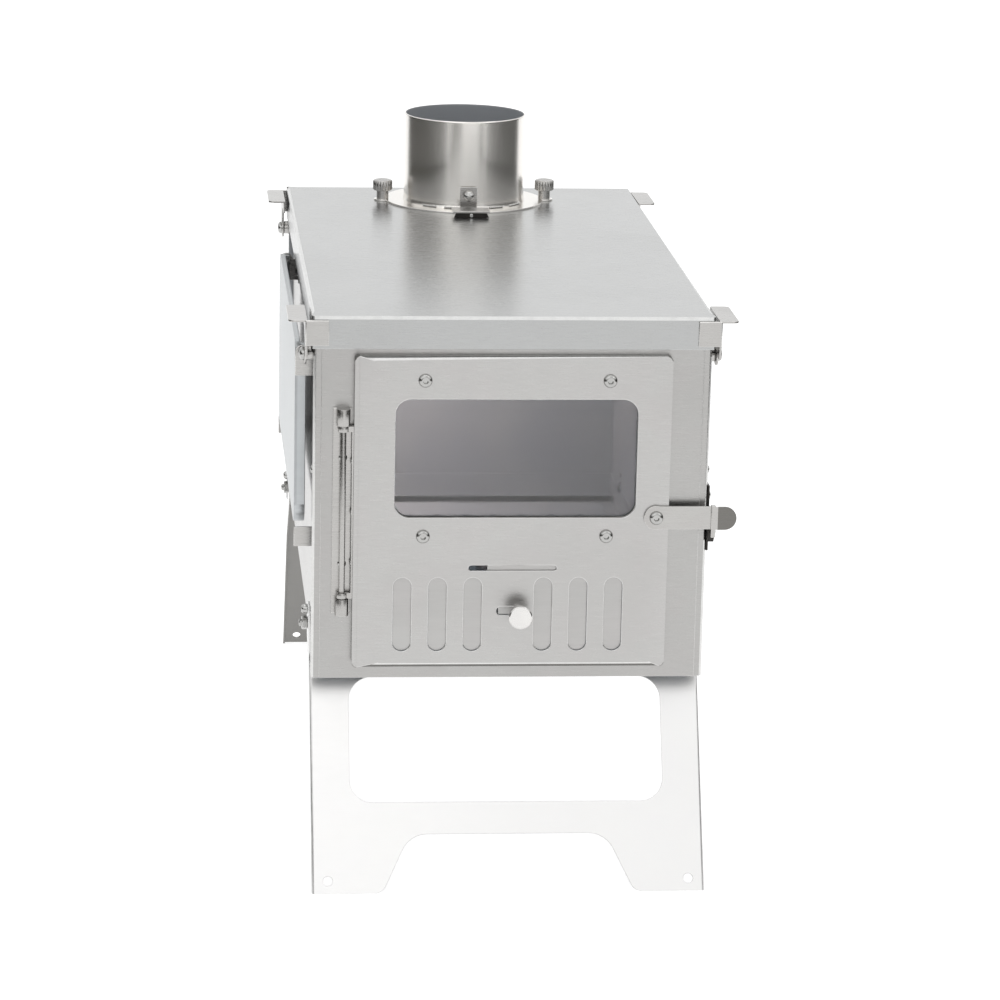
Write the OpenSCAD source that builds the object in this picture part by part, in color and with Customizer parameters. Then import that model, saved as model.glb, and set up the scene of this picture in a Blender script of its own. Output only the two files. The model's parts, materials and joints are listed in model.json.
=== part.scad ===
// Tent wood stove: a sheet-metal firebox on two folding leg plates, with a lift-off lid,
// a glazed door with a sliding air damper, a fold-up side shelf and a stovepipe collar.
// The door faces -Y, +X is to the right of someone facing it, and z = 0 is the ground.

/* [Firebox] */
// Width over the lid
lid_w = 221; // [200:1:260]
// Length over the lid, front to back
lid_l = 412; // [390:1:480]
// Height from the firebox bottom to the top of the lid
box_h = 205; // [200:1:240]
// Thickness of the firebox sheets
sheet = 1; // [0.8:0.1:1.4]
// Clearance between the lid's lip and the firebox
lid_gap = 0.3; // [0.2:0.05:0.4]
// Height of the lid's lip
lip_h = 18.4; // [14:0.1:19]
// Inset of the side walls from the front frame's edge
wall_inset = 3; // [2.8:0.1:4]
// Depth of the front frame's side returns
return_d = 10; // [8:0.5:12]
// Width of the set-back strip along each side of the front frame
joggle_w = 4.4; // [3.9:0.1:6]
// Step of that strip behind the face
joggle_d = 0.5; // [0.3:0.1:0.8]
// Height of the bottom pan's upturned edge
pan_edge_h = 16; // [8:0.5:20]
// Height of the rivets in the side returns over the firebox bottom
wall_rivet_z = 118; // [110:0.5:130]

/* [Grate] */
// Width of the fire grate
grate_w = 180; // [120:1:190]
// Length of the fire grate
grate_l = 310; // [200:1:330]
// Height of the fire grate's legs
grate_h = 13; // [8:0.5:20]
// Number of slots in each row of the grate
grate_slots = 9; // [3:1:12]
// Width of a grate slot
grate_slot_w = 7; // [5:0.5:9]

/* [Door] */
// Width of the frame on each side of the door
door_side = 22.2; // [21.4:0.1:25]
// Distance from the door's upper edge up to the lid's lip
door_head_gap = 2.8; // [1.5:0.1:6]
// Height of the door's lower edge over the firebox bottom
door_z = 7.5; // [5:0.1:9]
// How far the door's face stands in front of the frame
door_proud = 6; // [5.4:0.1:7]
// Outer radius of the door's corners
door_corner_r = 3; // [2:0.5:5]
// Overlap of the door over the edge of its opening
door_overlap = 8; // [6.5:0.5:8]
// Clearance between the door's edge and the frame
door_gap = 0.4; // [0.3:0.1:0.8]

/* [Window] */
// Width of the door sheet to the left of the window
window_left = 22.5; // [21:0.1:34]
// Distance from the latch arm's pivot to the window's right edge
window_arm = 11.5; // [10.5:0.1:24]
// Height of the door sheet over the window
window_head = 24.15; // [23:0.05:40]
// Height of the door sheet under the window
window_sill = 85.65; // [84:0.05:100]
// Corner radius of the window opening
window_r = 8.5; // [4:0.5:14]
// Overlap of the glass behind the edge of the opening
glass_overlap = 6; // [3:0.5:6.5]
// Thickness of the ceramic glass
glass_t = 4; // [3:0.5:4]
// Thickness of the glass-fibre gasket
gasket_t = 1; // [0.6:0.1:1.2]
// Width of the gasket band
gasket_w = 5.5; // [3:0.5:6]
// Distance of the window bolts inside the window's side edges
window_bolt_in = 15.9; // [10:0.1:24]
// Distance of the window bolts over and under the window
window_bolt_out = 10.55; // [10.4:0.05:11.2]
// Width of the clamp plate's rim round the glass
clamp_rim = 2; // [1:0.1:2.4]
// Width of the clamp plate outside its bolts
clamp_tab = 4.5; // [4.2:0.1:5]

/* [Air damper] */
// Width of an air slot
vent_w = 10; // [8:0.5:10]
// Height of an air slot
vent_h = 42; // [30:0.1:42]
// Distance of the outermost air slot from the door's side edge
vent_edge = 28.5; // [27:0.1:34]
// Sideways place of the middle of the air slots
vent_mid = -1; // [-1.6:0.1:1]
// Air slots on each side of the knob
vents_each_side = 3; // [2:1:3]
// Height of the air slots' centre over the firebox bottom
vent_z = 38; // [37.2:0.1:38.6]
// Overlap of the shut damper over each side of an air slot
vent_cover = 0.2; // [0.1:0.05:0.6]
// Sideways place of the knob with the damper shut
knob_x = 5; // [4.6:0.1:6]
// Diameter of the knob
knob_d = 13; // [10:0.5:14]
// How far the knob stands out from the door
knob_reach = 15; // [10:0.5:18]
// Width of the narrow guide slot over the air slots
guide_slot_w = 48.6; // [40:0.1:50]
// Height of the narrow guide slot
guide_slot_h = 2.9; // [2:0.1:3.2]
// Height of the guide slot over the firebox bottom
guide_slot_z = 64.5; // [64:0.1:65]

/* [Hinge and latch] */
// Distance of the hinge rod from the door's left edge
rod_gap = 5.8; // [5.5:0.1:6.2]
// Diameter of the hinge rod
rod_d = 3.2; // [2.5:0.1:3.4]
// How far the rod's centre stands in front of the frame
rod_y = 4.5; // [4.4:0.1:4.8]
// Height of the lower end of the bare rod over the firebox bottom
rod_z0 = 46.8; // [43:0.1:48]
// Length of the bare rod between the fixed knuckles
rod_len = 98; // [80:0.5:100]
// Diameter of a fixed knuckle
knuckle_d = 7.5; // [6.5:0.1:7.8]
// Length of a fixed knuckle
knuckle_l = 9.3; // [6:0.1:11]
// Height of the latch arm's pivot over the firebox bottom
arm_z = 93.4; // [91:0.1:94.5]
// Distance of that pivot from the door's right edge
arm_inset = 7; // [6.2:0.1:8]
// Width of the latch arm
arm_w = 13; // [11:0.1:13.2]
// Length of the latch arm from its pivot to its tip
arm_len = 44.4; // [40:0.1:46]
// Thickness of the latch arm
arm_t = 1.5; // [1.2:0.1:1.8]

/* [Legs] */
// Height of the firebox bottom over the ground
leg_h = 112; // [100:1:116]
// Outward lean of the legs, in degrees
splay = 28; // [26:0.5:30]
// Thickness of the leg sheets
leg_t = 1.2; // [1:0.1:1.3]
// Distance from the firebox's end face to the leg plate at bottom level
leg_set = 18; // [16:0.5:19]
// Distance from the end face to the leg's pivot
pivot_y = 48.5; // [47.5:0.5:49.5]
// Height of the leg's pivot over the firebox bottom
pivot_z = 18; // [17:0.5:18.5]
// Distance from the pivot bolt up to the stop bolt
stop_r = 8; // [7.6:0.1:8.6]
// Fold angle of a leg, in degrees
fold = 110; // [90:1:110]
// Width of the leg's window
leg_window_w = 175; // [150:1:178]
// Height of the leg's solid edge over its window
leg_window_top = 5; // [4:0.5:12]
// Corner radius of the leg's window
leg_window_r = 13; // [8:0.5:16]
// Height of the leg's solid bar between the window and the arch
leg_bar = 18; // [12:0.2:20]
// Height of the arch over the ground, on the slope
arch_h = 33; // [24:0.5:34]
// Width of the arch at its top
arch_top_w = 109; // [90:1:115]
// Width of the arch at the ground
arch_foot_w = 140; // [120:1:146]
// Corner radius of the arch
arch_r = 15.5; // [8:0.5:18]
// Radius of the feet's corners beside the arch
foot_r = 7.5; // [4:0.5:10]
// Diameter of the peg hole in each foot
peg_d = 5.2; // [4:0.1:6]
// Distance of the peg hole from the leg's side edge
peg_in = 9; // [7:0.5:12]
// Distance of the peg hole from the ground, up the slope
peg_up = 7.2; // [6:0.1:9]
// Thickness of the washer between the side wall and the leg's ear
washer_t = 1.6; // [1:0.1:1.8]

/* [Side shelf] */
// Length of the side shelf
shelf_l = 270; // [220:1:280]
// Height of the side shelf, hanging
shelf_h = 104; // [90:1:112]
// Distance of the shelf's front end from the firebox's front face
shelf_y = 24; // [23.5:0.5:30]
// Stand-off of the shelf's outer face from the side wall
shelf_off = 12.2; // [11.8:0.1:13]
// Depth of the shelf's turned edges
shelf_edge = 6; // [4:0.5:6.5]
// Corner radius of the shelf
shelf_r = 12; // [8:0.5:16]

/* [Flue] */
// Outer diameter of the stovepipe collar
collar_d = 76; // [60:0.5:80]
// Height of the collar's rim over the lid
collar_h = 55.5; // [40:0.5:70]
// Distance of the collar's centre from the lid's back edge
collar_back = 46; // [45:0.5:70]
// Radius of the flue flange
flange_r = 50; // [47:0.5:52]
// Distance of the flange's straight back edge from the lid's back edge
flange_back = 2; // [1:0.5:5]
// Distance of the thumb screws from the collar's centre
ear_r = 51.5; // [50:0.5:56]
// Turn of the thumb screws about the collar, in degrees
ear_turn = 2; // [0:0.5:20]
// Width of the clip's strap
clip_w = 10.4; // [8:0.2:12]
// Width of the clip's raised tongue
tongue_w = 23; // [18:0.5:26]
// Length of the tongue in front of the flange
tongue_l = 15; // [11:0.5:18]
// Height of the tongue's top over the lid
tongue_h = 4.2; // [3.8:0.1:5]

/* [Corner latches] */
// Height of the latch pivot under the lid's top
latch_drop = 24; // [23.5:0.1:26]
// Distance of the latch pivot from the end face
latch_in = 14; // [13:0.5:15]
// Clearance between the lid's lip and the latch strip
latch_off = 2.2; // [1.8:0.1:3]
// Outward width of the finger flange
finger_w = 10.5; // [8:0.5:12]
// Length of the finger flange
finger_l = 42; // [26:1:44]

/* [Fits] */
// Radial clearance of a bolt or pin in its hole
fit = 0.05; // [0.02:0.01:0.09]
// Clearance between flat faces that slide past each other
slide_gap = 0.2; // [0.1:0.05:0.3]
// Radius of the door, arm and window bolts' shanks
bolt_r = 2; // [1.8:0.1:2.2]
// Radius of a button head
head_r = 3.8; // [3.4:0.1:4]
// Height of a button head
head_h = 2.2; // [1.8:0.1:2.4]
// Distance across the flats of a nut
nut_af = 7; // [6.5:0.1:7.2]
// Height of a nut
nut_h = 3.2; // [2.4:0.1:3.4]
// Radius of a rivet's shank
rivet_r = 1.2; // [1:0.1:1.4]
// Radius of a rivet's head
rivet_head_r = 2.4; // [2:0.1:2.6]
// Height of a rivet's head
rivet_head_h = 1.2; // [0.8:0.1:1.2]

/* [Hidden] */
$fn = 64;
eps = 0.01;
box_w = lid_w - 2 * (sheet + lid_gap);
box_l = lid_l - 2 * (sheet + lid_gap);
front = -box_l / 2;
zb = leg_h;
zt = leg_h + box_h;
wall_out = box_w / 2 - wall_inset;
wall_in = wall_out - sheet;
door_face = front - door_proud;
door_back = door_face + sheet;
door_w = box_w - 2 * door_side;
door_left = -door_w / 2;
door_h = box_h - lip_h - door_z - door_head_gap;
opening_w = door_w - 2 * door_overlap;
opening_h = door_h - 2 * door_overlap;
door_mid_z = zb + door_z + door_h / 2;
window_w = door_w - arm_inset - window_arm - window_left;
window_h = door_h - window_head - window_sill;
window_x = door_left + window_left + window_w / 2;
window_bolt_dx = window_w - 2 * window_bolt_in;
window_bolt_dz = window_h + 2 * window_bolt_out;
win_z = zb + door_z + window_sill + window_h / 2;
glass_w = window_w + 2 * glass_overlap;
glass_h = window_h + 2 * glass_overlap;
glass_y = door_back + gasket_t;
clamp_y = glass_y + glass_t;
clamp_w = glass_w + 2 * clamp_rim;
clamp_h = window_bolt_dz + 2 * clamp_tab;
plate_y = door_back + slide_gap;
vent_top = vent_z + vent_h / 2;
vent_low = vent_z - vent_h / 2;
vent_pitch = (door_w / 2 - vent_edge) / vents_each_side;
damper_travel = vent_pitch / 2;
vent_x = [for (side = [-1, 1]) for (i = [1:vents_each_side]) vent_mid + side * i * vent_pitch];
damper_low = zb + vent_low - 3;
damper_top = zb + vent_top + 3;
damper_half = vents_each_side * vent_pitch + vent_pitch / 2 + vent_w / 2 + 2.6;
guide_slot_x0 = -23;
tongue_x0 = guide_slot_x0 + 10.4;
tongue_x1 = guide_slot_x0 + 61;
tongue_top = zb + guide_slot_z + guide_slot_h / 2 + 3;
guide_slot_x = guide_slot_x0 + guide_slot_w / 2;
rod_x = door_left - rod_gap;
rod_yc = front - rod_y;
arm_x = door_w / 2 - arm_inset;
arm_y = door_face - slide_gap - arm_t;
arm_zc = zb + arm_z;
ear_x = wall_out + washer_t + slide_gap;
foot_len = leg_h / cos(splay);
pivot_ly = (pivot_y - leg_set) * cos(splay) - pivot_z * sin(splay);
pivot_lz = (pivot_y - leg_set) * sin(splay) + pivot_z * cos(splay);
leg_top = 1;
ear_rad = 12;
leg_half = ear_x + leg_t;
shelf_face = wall_out + shelf_off;
shelf_axis_x = -(shelf_face - 4);
shelf_axis_z = zt - lip_h - 7;
shelf_top = shelf_axis_z + 5.5;
shelf_y0 = front + shelf_y;
shelf_y1 = shelf_y0 + shelf_l;
shelf_low = shelf_top - shelf_h;
shelf_pin_r = 1.5;
collar_y = lid_l / 2 - collar_back;
collar_r = collar_d / 2;
flue_hole_r = collar_r - sheet - 1;
latch_z = zt - latch_drop;
latch_x = lid_w / 2 + latch_off;
latch_t = 1.2;
screw_r = 2;
stop_bolt_r = 1.5;

// ---- Shared shapes ----

// Rectangle with round corners, centred
module round_rect(w, h, r) {
    for (s = [-1, 1]) {
        for (t = [-1, 1]) translate([s * (w / 2 - r), t * (h / 2 - r)]) circle(r = r);
    }
    square([w - 2 * r, h], center = true);
    square([w, h - 2 * r], center = true);
}

// Stands a drawing in X and Z on the plane y = y0 and gives it thickness t towards +Y
module upright(y0, t) {
    translate([0, y0 + t, 0]) rotate([90, 0, 0]) linear_extrude(t) children();
}

// Stands a drawing in Y and Z on the plane x = x0 and gives it thickness t towards +X
module sideways(x0, t) {
    translate([x0, 0, 0]) rotate([90, 0, 90]) linear_extrude(t) children();
}

module both_sides() {
    children();
    mirror([1, 0, 0]) children();
}

module both_ends() {
    children();
    mirror([0, 1, 0]) children();
}

// A dome-headed bolt along +Z: its head's seat is at z = 0 and its socket is in the head
module button_bolt(r, length, hr, hh) {
    translate([0, 0, -length]) cylinder(r = r, h = length);
    difference() {
        rotate_extrude() polygon([[0, 0], [hr, 0], [hr, hh * 0.35], [hr * 0.86, hh * 0.75],
            [hr * 0.62, hh], [0, hh]]);
        translate([0, 0, hh * 0.4]) cylinder(r = hr * 0.36, h = hh, $fn = 6);
    }
}

// A rivet along +Z whose head's seat is at z = 0
module rivet(length) {
    translate([0, 0, -length]) cylinder(r = rivet_r, h = length);
    rotate_extrude() polygon([[0, 0], [rivet_head_r, 0], [rivet_head_r * 0.8, rivet_head_h * 0.7],
        [rivet_head_r * 0.45, rivet_head_h], [0, rivet_head_h]]);
}

// A hexagonal nut round a bolt, along +Z from z = 0
module nut(r) {
    difference() {
        cylinder(r = nut_af / 2 / cos(30), h = nut_h, $fn = 6);
        translate([0, 0, -1]) cylinder(r = r + fit, h = nut_h + 2);
    }
}

module hole_z(x, y, z0, z1, r) {
    translate([x, y, z0]) cylinder(r = r, h = z1 - z0);
}

module hole_y(x, z, y0, y1, r) {
    translate([x, y0, z]) rotate([-90, 0, 0]) cylinder(r = r, h = y1 - y0);
}

module hole_x(y, z, x0, x1, r) {
    translate([x0, y, z]) rotate([0, 90, 0]) cylinder(r = r, h = x1 - x0);
}

// ---- Firebox shell ----

// Half of an end frame's section: face, set-back edge strip, side return and inner turn
module frame_section() {
    edge = box_w / 2;
    step_x = edge - joggle_w;
    translate([0, front]) square([step_x, sheet]);
    translate([step_x - sheet, front + joggle_d]) square([joggle_w + sheet, sheet]);
    translate([edge - sheet, front + joggle_d]) square([sheet, return_d - joggle_d]);
    translate([wall_out, front + return_d - sheet]) square([wall_inset, sheet]);
}

module end_frame() {
    translate([0, 0, zb]) linear_extrude(box_h - sheet) {
        frame_section();
        mirror([1, 0]) frame_section();
    }
}

module side_rivet_holes() {
    both_sides() both_ends() for (z = rivet_rows) {
        hole_x(front + return_d / 2, z, wall_in - 1, box_w / 2 + 1, rivet_r + fit);
    }
}

rivet_rows = [zb + wall_rivet_z];

module keeper_rivet_holes() {
    for (z = keeper_rows) hole_x(front + return_d / 2, z, wall_in - 1, box_w / 2 + 3, rivet_r + fit);
}

keeper_rows = [arm_zc - 14, arm_zc + 10];

module front_frame() {
    color([0.72, 0.71, 0.7]) difference() {
        end_frame();
        translate([0, 0, door_mid_z]) upright(front - 1, sheet + 3)
            round_rect(opening_w, opening_h, 6);
        for (z = bracket_rivet_z) hole_y(rod_x, z, front - 1, front + 3, rivet_r + fit);
        side_rivet_holes();
        keeper_rivet_holes();
    }
}

module rear_panel() {
    color([0.72, 0.71, 0.7]) difference() {
        mirror([0, 1, 0]) end_frame();
        side_rivet_holes();
    }
}

// The holes that both side walls have
module wall_holes() {
    both_sides() both_ends() {
        hole_x(front + latch_in, latch_z, wall_in - 1, wall_out + 1, bolt_r + fit);
        hole_x(front + pivot_y, zb + pivot_z, wall_in - 1, wall_out + 1, bolt_r + fit);
        hole_x(front + pivot_y, zb + pivot_z + stop_r, wall_in - 1, wall_out + 1, stop_bolt_r + fit);
    }
    side_rivet_holes();
}

module wall_sheet() {
    translate([wall_in, front + sheet + joggle_d, zb])
        cube([sheet, box_l - 2 * (sheet + joggle_d), box_h - sheet]);
}

module right_wall() {
    color([0.74, 0.73, 0.72]) difference() {
        wall_sheet();
        wall_holes();
        keeper_rivet_holes();
    }
}

module left_wall() {
    color([0.74, 0.73, 0.72]) difference() {
        mirror([1, 0, 0]) wall_sheet();
        wall_holes();
        shelf_rivet_spots() hole_x(0, 0, -wall_out - 1, -wall_in + 1, rivet_r + fit);
    }
}

module bottom_pan() {
    w = 2 * wall_in;
    l = box_l - 2 * (sheet + joggle_d);
    color([0.66, 0.66, 0.66]) difference() {
        translate([0, 0, zb]) linear_extrude(pan_edge_h) square([w, l], center = true);
        translate([0, 0, zb + sheet]) linear_extrude(pan_edge_h)
            square([w - 2 * sheet, l - 2 * sheet], center = true);
        both_sides() both_ends()
            hole_x(front + pivot_y, zb + pivot_z, wall_in - 4, wall_out + 1, head_r + 1);
        translate([0, 0, zb + pan_edge_h]) mirror([0, 0, 1])
            pan_front_dip(l);
    }
}

// The pan's front edge dips behind the door opening so that air can pass under the grate
module pan_front_dip(l) {
    dip = max(pan_edge_h - door_z - door_overlap, 1);
    translate([-opening_w / 2, -l / 2 - 1, -1]) cube([opening_w, sheet + 2, dip + 1]);
}

module fire_grate() {
    y0 = front + grate_front;
    x0 = -grate_w / 2;
    slot_l = (grate_l - 2 * grate_end) / 3;
    pitch = grate_w / (grate_slots + 1);
    color([0.6, 0.59, 0.57]) {
        difference() {
            translate([x0, y0, zb + sheet + grate_h]) cube([grate_w, grate_l, grate_t]);
            for (i = [1:grate_slots]) for (j = [0:2])
                translate([x0 + i * pitch, y0 + grate_end + (j + 0.5) * slot_l, zb])
                    linear_extrude(4 * grate_h)
                        round_rect(grate_slot_w, slot_l - grate_web, grate_slot_w / 2 - eps);
        }
        for (x = [x0, -x0 - grate_t])
            translate([x, y0, zb + sheet]) cube([grate_t, grate_l, grate_h]);
    }
}

grate_t = 1.5;
grate_front = 22;
grate_end = 25;
grate_web = 12;

// ---- Door hinge ----

bracket_rivet_z = [zb + rod_z0 + 79.2, zb + rod_z0 + 19.2];
knuckle_low = zb + rod_z0 - knuckle_l;
knuckle_top = zb + rod_z0 + rod_len;

module knuckle(z) {
    translate([rod_x, rod_yc, z]) cylinder(d = knuckle_d, h = knuckle_l);
    translate([rod_x - knuckle_d / 2, rod_yc, z]) cube([knuckle_d, rod_y - 0.6, knuckle_l]);
}

module hinge_bracket() {
    color([0.7, 0.68, 0.66]) difference() {
        union() {
            translate([rod_x - 5.5, front - 1.2, knuckle_low])
                cube([10, 1.2, rod_len + 2 * knuckle_l]);
            knuckle(knuckle_low);
            knuckle(knuckle_top);
        }
        hole_z(rod_x, rod_yc, knuckle_low + 2, knuckle_top + knuckle_l - 2, rod_d / 2 + fit);
        for (z = bracket_rivet_z) hole_y(rod_x, z, front - 2, front + 1, rivet_r + fit);
    }
}

module hinge_rod() {
    color([0.78, 0.77, 0.75])
        hole_z(rod_x, rod_yc, knuckle_low + 2, knuckle_top + knuckle_l - 2, rod_d / 2);
}

module bracket_rivets() {
    color([0.82, 0.81, 0.8]) for (z = bracket_rivet_z)
        translate([rod_x, front - 1.2, z]) rotate([90, 0, 0]) rivet(1.2 + sheet);
}

leaf_x = door_left - sheet;
leaf_low = zb + rod_z0 + 0.4;
leaf_top = zb + rod_z0 + rod_len - 0.4;
leaf_rivet_z = [leaf_low + 20, (leaf_low + leaf_top) / 2, leaf_top - 20];
leaf_ear_h = 3;

module leaf_ear(z) {
    translate([rod_x, rod_yc, z]) cylinder(r = rod_y - 1.5, h = leaf_ear_h);
    translate([rod_x, rod_yc - 1.2, z]) cube([leaf_x + sheet / 2 - rod_x, 3, leaf_ear_h]);
}

module hinge_leaf() {
    color([0.74, 0.72, 0.7]) difference() {
        union() {
            translate([leaf_x, door_face + 0.3, leaf_low])
                cube([sheet, door_proud - 2, leaf_top - leaf_low]);
            leaf_ear(leaf_low);
            leaf_ear(leaf_top - leaf_ear_h);
        }
        hole_z(rod_x, rod_yc, leaf_low - 1, leaf_top + 1, rod_d / 2 + fit);
        for (z = leaf_rivet_z)
            hole_x(leaf_rivet_y, z, leaf_x - 1, leaf_x + sheet + 1, rivet_small_r + fit);
    }
}

leaf_rivet_y = door_face + 2.4;
rivet_small_r = 0.9;

module leaf_rivets() {
    color([0.82, 0.81, 0.8]) for (z = leaf_rivet_z) {
        hole_x(leaf_rivet_y, z, leaf_x, leaf_x + 2 * sheet, rivet_small_r);
        hole_x(leaf_rivet_y, z, leaf_x - 0.8, leaf_x, 1.7);
    }
}

// ---- Door ----

module stack_bolt_spots() {
    for (s = [-1, 1]) for (t = [-1, 1])
        translate([window_x + s * window_bolt_dx / 2, 0, win_z + t * window_bolt_dz / 2]) children();
}

module vent_shape(w) {
    round_rect(w, vent_h, w / 2 - eps);
}

module door_panel() {
    color([0.74, 0.73, 0.72]) difference() {
        translate([0, 0, door_mid_z]) upright(door_face, door_proud - door_gap)
            round_rect(door_w, door_h, door_corner_r);
        translate([0, 0, door_mid_z]) upright(door_back, door_proud)
            round_rect(door_w - 2 * sheet, door_h - 2 * sheet, door_corner_r - sheet);
        translate([window_x, 0, win_z]) upright(door_face - 1, sheet + 2)
            round_rect(window_w, window_h, window_r);
        for (x = vent_x) translate([x, 0, zb + vent_z]) upright(door_face - 1, sheet + 2)
            vent_shape(vent_w);
        translate([guide_slot_x, 0, zb + guide_slot_z]) upright(door_face - 1, sheet + 2)
            round_rect(guide_slot_w, guide_slot_h, guide_slot_h / 2 - eps);
        translate([knob_x - damper_travel / 2, 0, zb + vent_z + 2]) upright(door_face - 1, sheet + 2)
            round_rect(damper_travel + 2 * screw_r + 0.8, 2 * screw_r + 0.8, screw_r + 0.39);
        stack_bolt_spots() hole_y(0, 0, door_face - 1, door_back + 1, bolt_r + fit);
        hole_y(arm_x, arm_zc, door_face - 1, door_back + 1, bolt_r + fit);
        for (z = leaf_rivet_z)
            hole_x(leaf_rivet_y, z, door_left - 1, door_left + sheet + 1, rivet_small_r + fit);
    }
}

module glass_gasket() {
    color([0.85, 0.84, 0.8]) translate([window_x, 0, win_z]) upright(door_back, gasket_t)
        difference() {
            round_rect(window_w + 2 * gasket_w, window_h + 2 * gasket_w, window_r + gasket_w);
            round_rect(window_w, window_h, window_r);
        }
}

module window_glass() {
    color([0.75, 0.78, 0.8, 0.4]) translate([window_x, 0, win_z]) upright(glass_y, glass_t)
        round_rect(glass_w, glass_h, 3);
}

module glass_clamp() {
    color([0.68, 0.67, 0.66]) difference() {
        translate([window_x, 0, win_z]) upright(clamp_y, sheet) difference() {
            round_rect(clamp_w, clamp_h, 4);
            round_rect(window_w, window_h, window_r);
        }
        stack_bolt_spots() hole_y(0, 0, clamp_y - 1, clamp_y + sheet + 1, bolt_r + fit);
    }
}

module window_bolts() {
    color([0.85, 0.85, 0.84]) stack_bolt_spots()
        translate([0, door_face, 0]) rotate([90, 0, 0])
            button_bolt(bolt_r, clamp_y + sheet + nut_h + 1 - door_face, head_r, head_h);
}

module window_nuts() {
    color([0.8, 0.8, 0.79]) stack_bolt_spots()
        translate([0, clamp_y + sheet, 0]) rotate([-90, 0, 0]) nut(bolt_r);
}

// ---- Latch arm ----

module arm_bolt() {
    color([0.85, 0.85, 0.84]) translate([arm_x, arm_y, arm_zc]) rotate([90, 0, 0])
        button_bolt(bolt_r, door_back + nut_h + 1 - arm_y, head_r, head_h);
}

module arm_nut() {
    color([0.8, 0.8, 0.79]) translate([arm_x, door_back, arm_zc]) rotate([-90, 0, 0]) nut(bolt_r);
}

// The arm is flat over the door and frame, then steps forward into a rounded finger tab
arm_jog = 1.5;
arm_rib_x = box_w / 2 + 1.2;
arm_rib_w = 2.4;
arm_rib_drop = 4.4;

module latch_arm() {
    tip_x = arm_x + arm_len;
    half = arm_w / 2;
    color([0.7, 0.69, 0.67]) difference() {
        union() {
            translate([0, 0, arm_zc]) upright(arm_y, arm_t) {
                translate([arm_x, 0]) circle(r = half + 0.3);
                translate([arm_x, -half]) square([arm_rib_x + arm_rib_w - arm_x, arm_w]);
            }
            translate([arm_rib_x, arm_y - arm_jog, arm_zc - half])
                cube([arm_rib_w, arm_t + arm_jog, arm_w + 0.6]);
            translate([arm_rib_x, arm_y - arm_jog, arm_zc - half - arm_rib_drop])
                cube([arm_rib_w, arm_jog - slide_gap, arm_rib_drop + 1]);
            translate([0, 0, arm_zc]) upright(arm_y - arm_jog, arm_t) {
                translate([arm_rib_x + 1, -half]) square([tip_x - half - arm_rib_x - 1, arm_w]);
                translate([tip_x - half, 0]) circle(r = half);
            }
        }
        hole_y(arm_x, arm_zc, arm_y - 1, arm_y + arm_t + 1, bolt_r + fit);
    }
}

// A riveted plate on the frame's side return, with a gusseted ledge that carries the arm
module latch_keeper() {
    x0 = box_w / 2;
    ledge = arm_zc - arm_w / 2 - 0.3;
    reach = door_face - slide_gap - arm_t;
    color([0.5, 0.49, 0.47]) difference() {
        union() {
            translate([x0, front + joggle_d, ledge - 14])
                cube([1.2, return_d - joggle_d, arm_w + 24]);
            sideways(x0, 4) polygon([[front + joggle_d, ledge - 8.5], [front + joggle_d, ledge],
                [reach, ledge], [reach, ledge - 2], [front - 1, ledge - 8.5]]);
        }
        translate([x0 + 1.2, front - 0.6, ledge - 20]) cube([4, 12, 60]);
        keeper_rivet_holes();
    }
}

module keeper_rivets() {
    color([0.82, 0.81, 0.8]) for (z = keeper_rows)
        translate([box_w / 2 + 1.2, front + return_d / 2, z]) rotate([0, 90, 0])
            rivet(1.2 + sheet + 0.6);
}

// ---- Air damper ----

// The plate's own slots stand half a pitch to the right of the door's while it is shut
module damper_plate() {
    slot_w = vent_pitch - vent_w - 2 * vent_cover;
    color([0.62, 0.61, 0.6]) difference() {
        union() {
            translate([vent_mid - damper_half + 5, plate_y, damper_low])
                cube([2 * damper_half - 5, sheet, damper_top - damper_low]);
            translate([tongue_x0, plate_y, damper_top - 1])
                cube([tongue_x1 - tongue_x0, sheet, tongue_top - damper_top + 1]);
        }
        for (x = vent_x) translate([x + damper_travel, 0, zb + vent_z]) upright(plate_y - 1, 4)
            vent_shape(slot_w);
        hole_y(knob_x, zb + vent_z + 2, plate_y - 1, plate_y + sheet + 1, screw_r + fit);
    }
}

module damper_guides() {
    lip_y = plate_y + sheet + slide_gap;
    y_len = lip_y + sheet - door_back;
    low_x = vent_mid - damper_half - 6;
    low_l = 2 * (damper_half + 6);
    color([0.68, 0.67, 0.66]) {
        translate([low_x, door_back, damper_low - 0.2 - 2]) cube([low_l, y_len, 2]);
        translate([low_x, lip_y, damper_low - 2]) cube([low_l, sheet, 4.6]);
        for (span = [[low_x + 6, low_x + 44], [tongue_x1 + 3, low_x + low_l - 6]]) {
            translate([span[0], door_back, damper_top + 0.2])
                cube([span[1] - span[0], y_len, 1.6]);
            translate([span[0], lip_y, damper_top - 2.4])
                cube([span[1] - span[0], sheet, 4]);
        }
    }
}

module damper_knob() {
    face = door_face - knob_reach;
    color([0.88, 0.88, 0.87]) translate([knob_x, face, zb + vent_z + 2]) rotate([-90, 0, 0]) {
        rotate_extrude() polygon([[0, 0], [knob_d / 2 - 0.6, 0], [knob_d / 2, 0.6],
            [knob_d / 2, 3.6], [knob_d / 2 - 0.4, 4], [2.6, 4],
            [2.6, knob_reach - 0.4], [0, knob_reach - 0.4]]);
        cylinder(r = screw_r, h = plate_y + sheet + nut_h + 1 - face);
    }
}

module damper_nut() {
    color([0.8, 0.8, 0.79]) translate([knob_x, plate_y + sheet, zb + vent_z + 2])
        rotate([-90, 0, 0]) nut(screw_r);
}

// ---- Lid and flue ----

module at_collar() {
    translate([0, collar_y, 0]) children();
}

module at_ears() {
    at_collar() for (a = [180 + ear_turn, ear_turn]) rotate([0, 0, a])
        translate([ear_r, 0, 0]) children();
}

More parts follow.
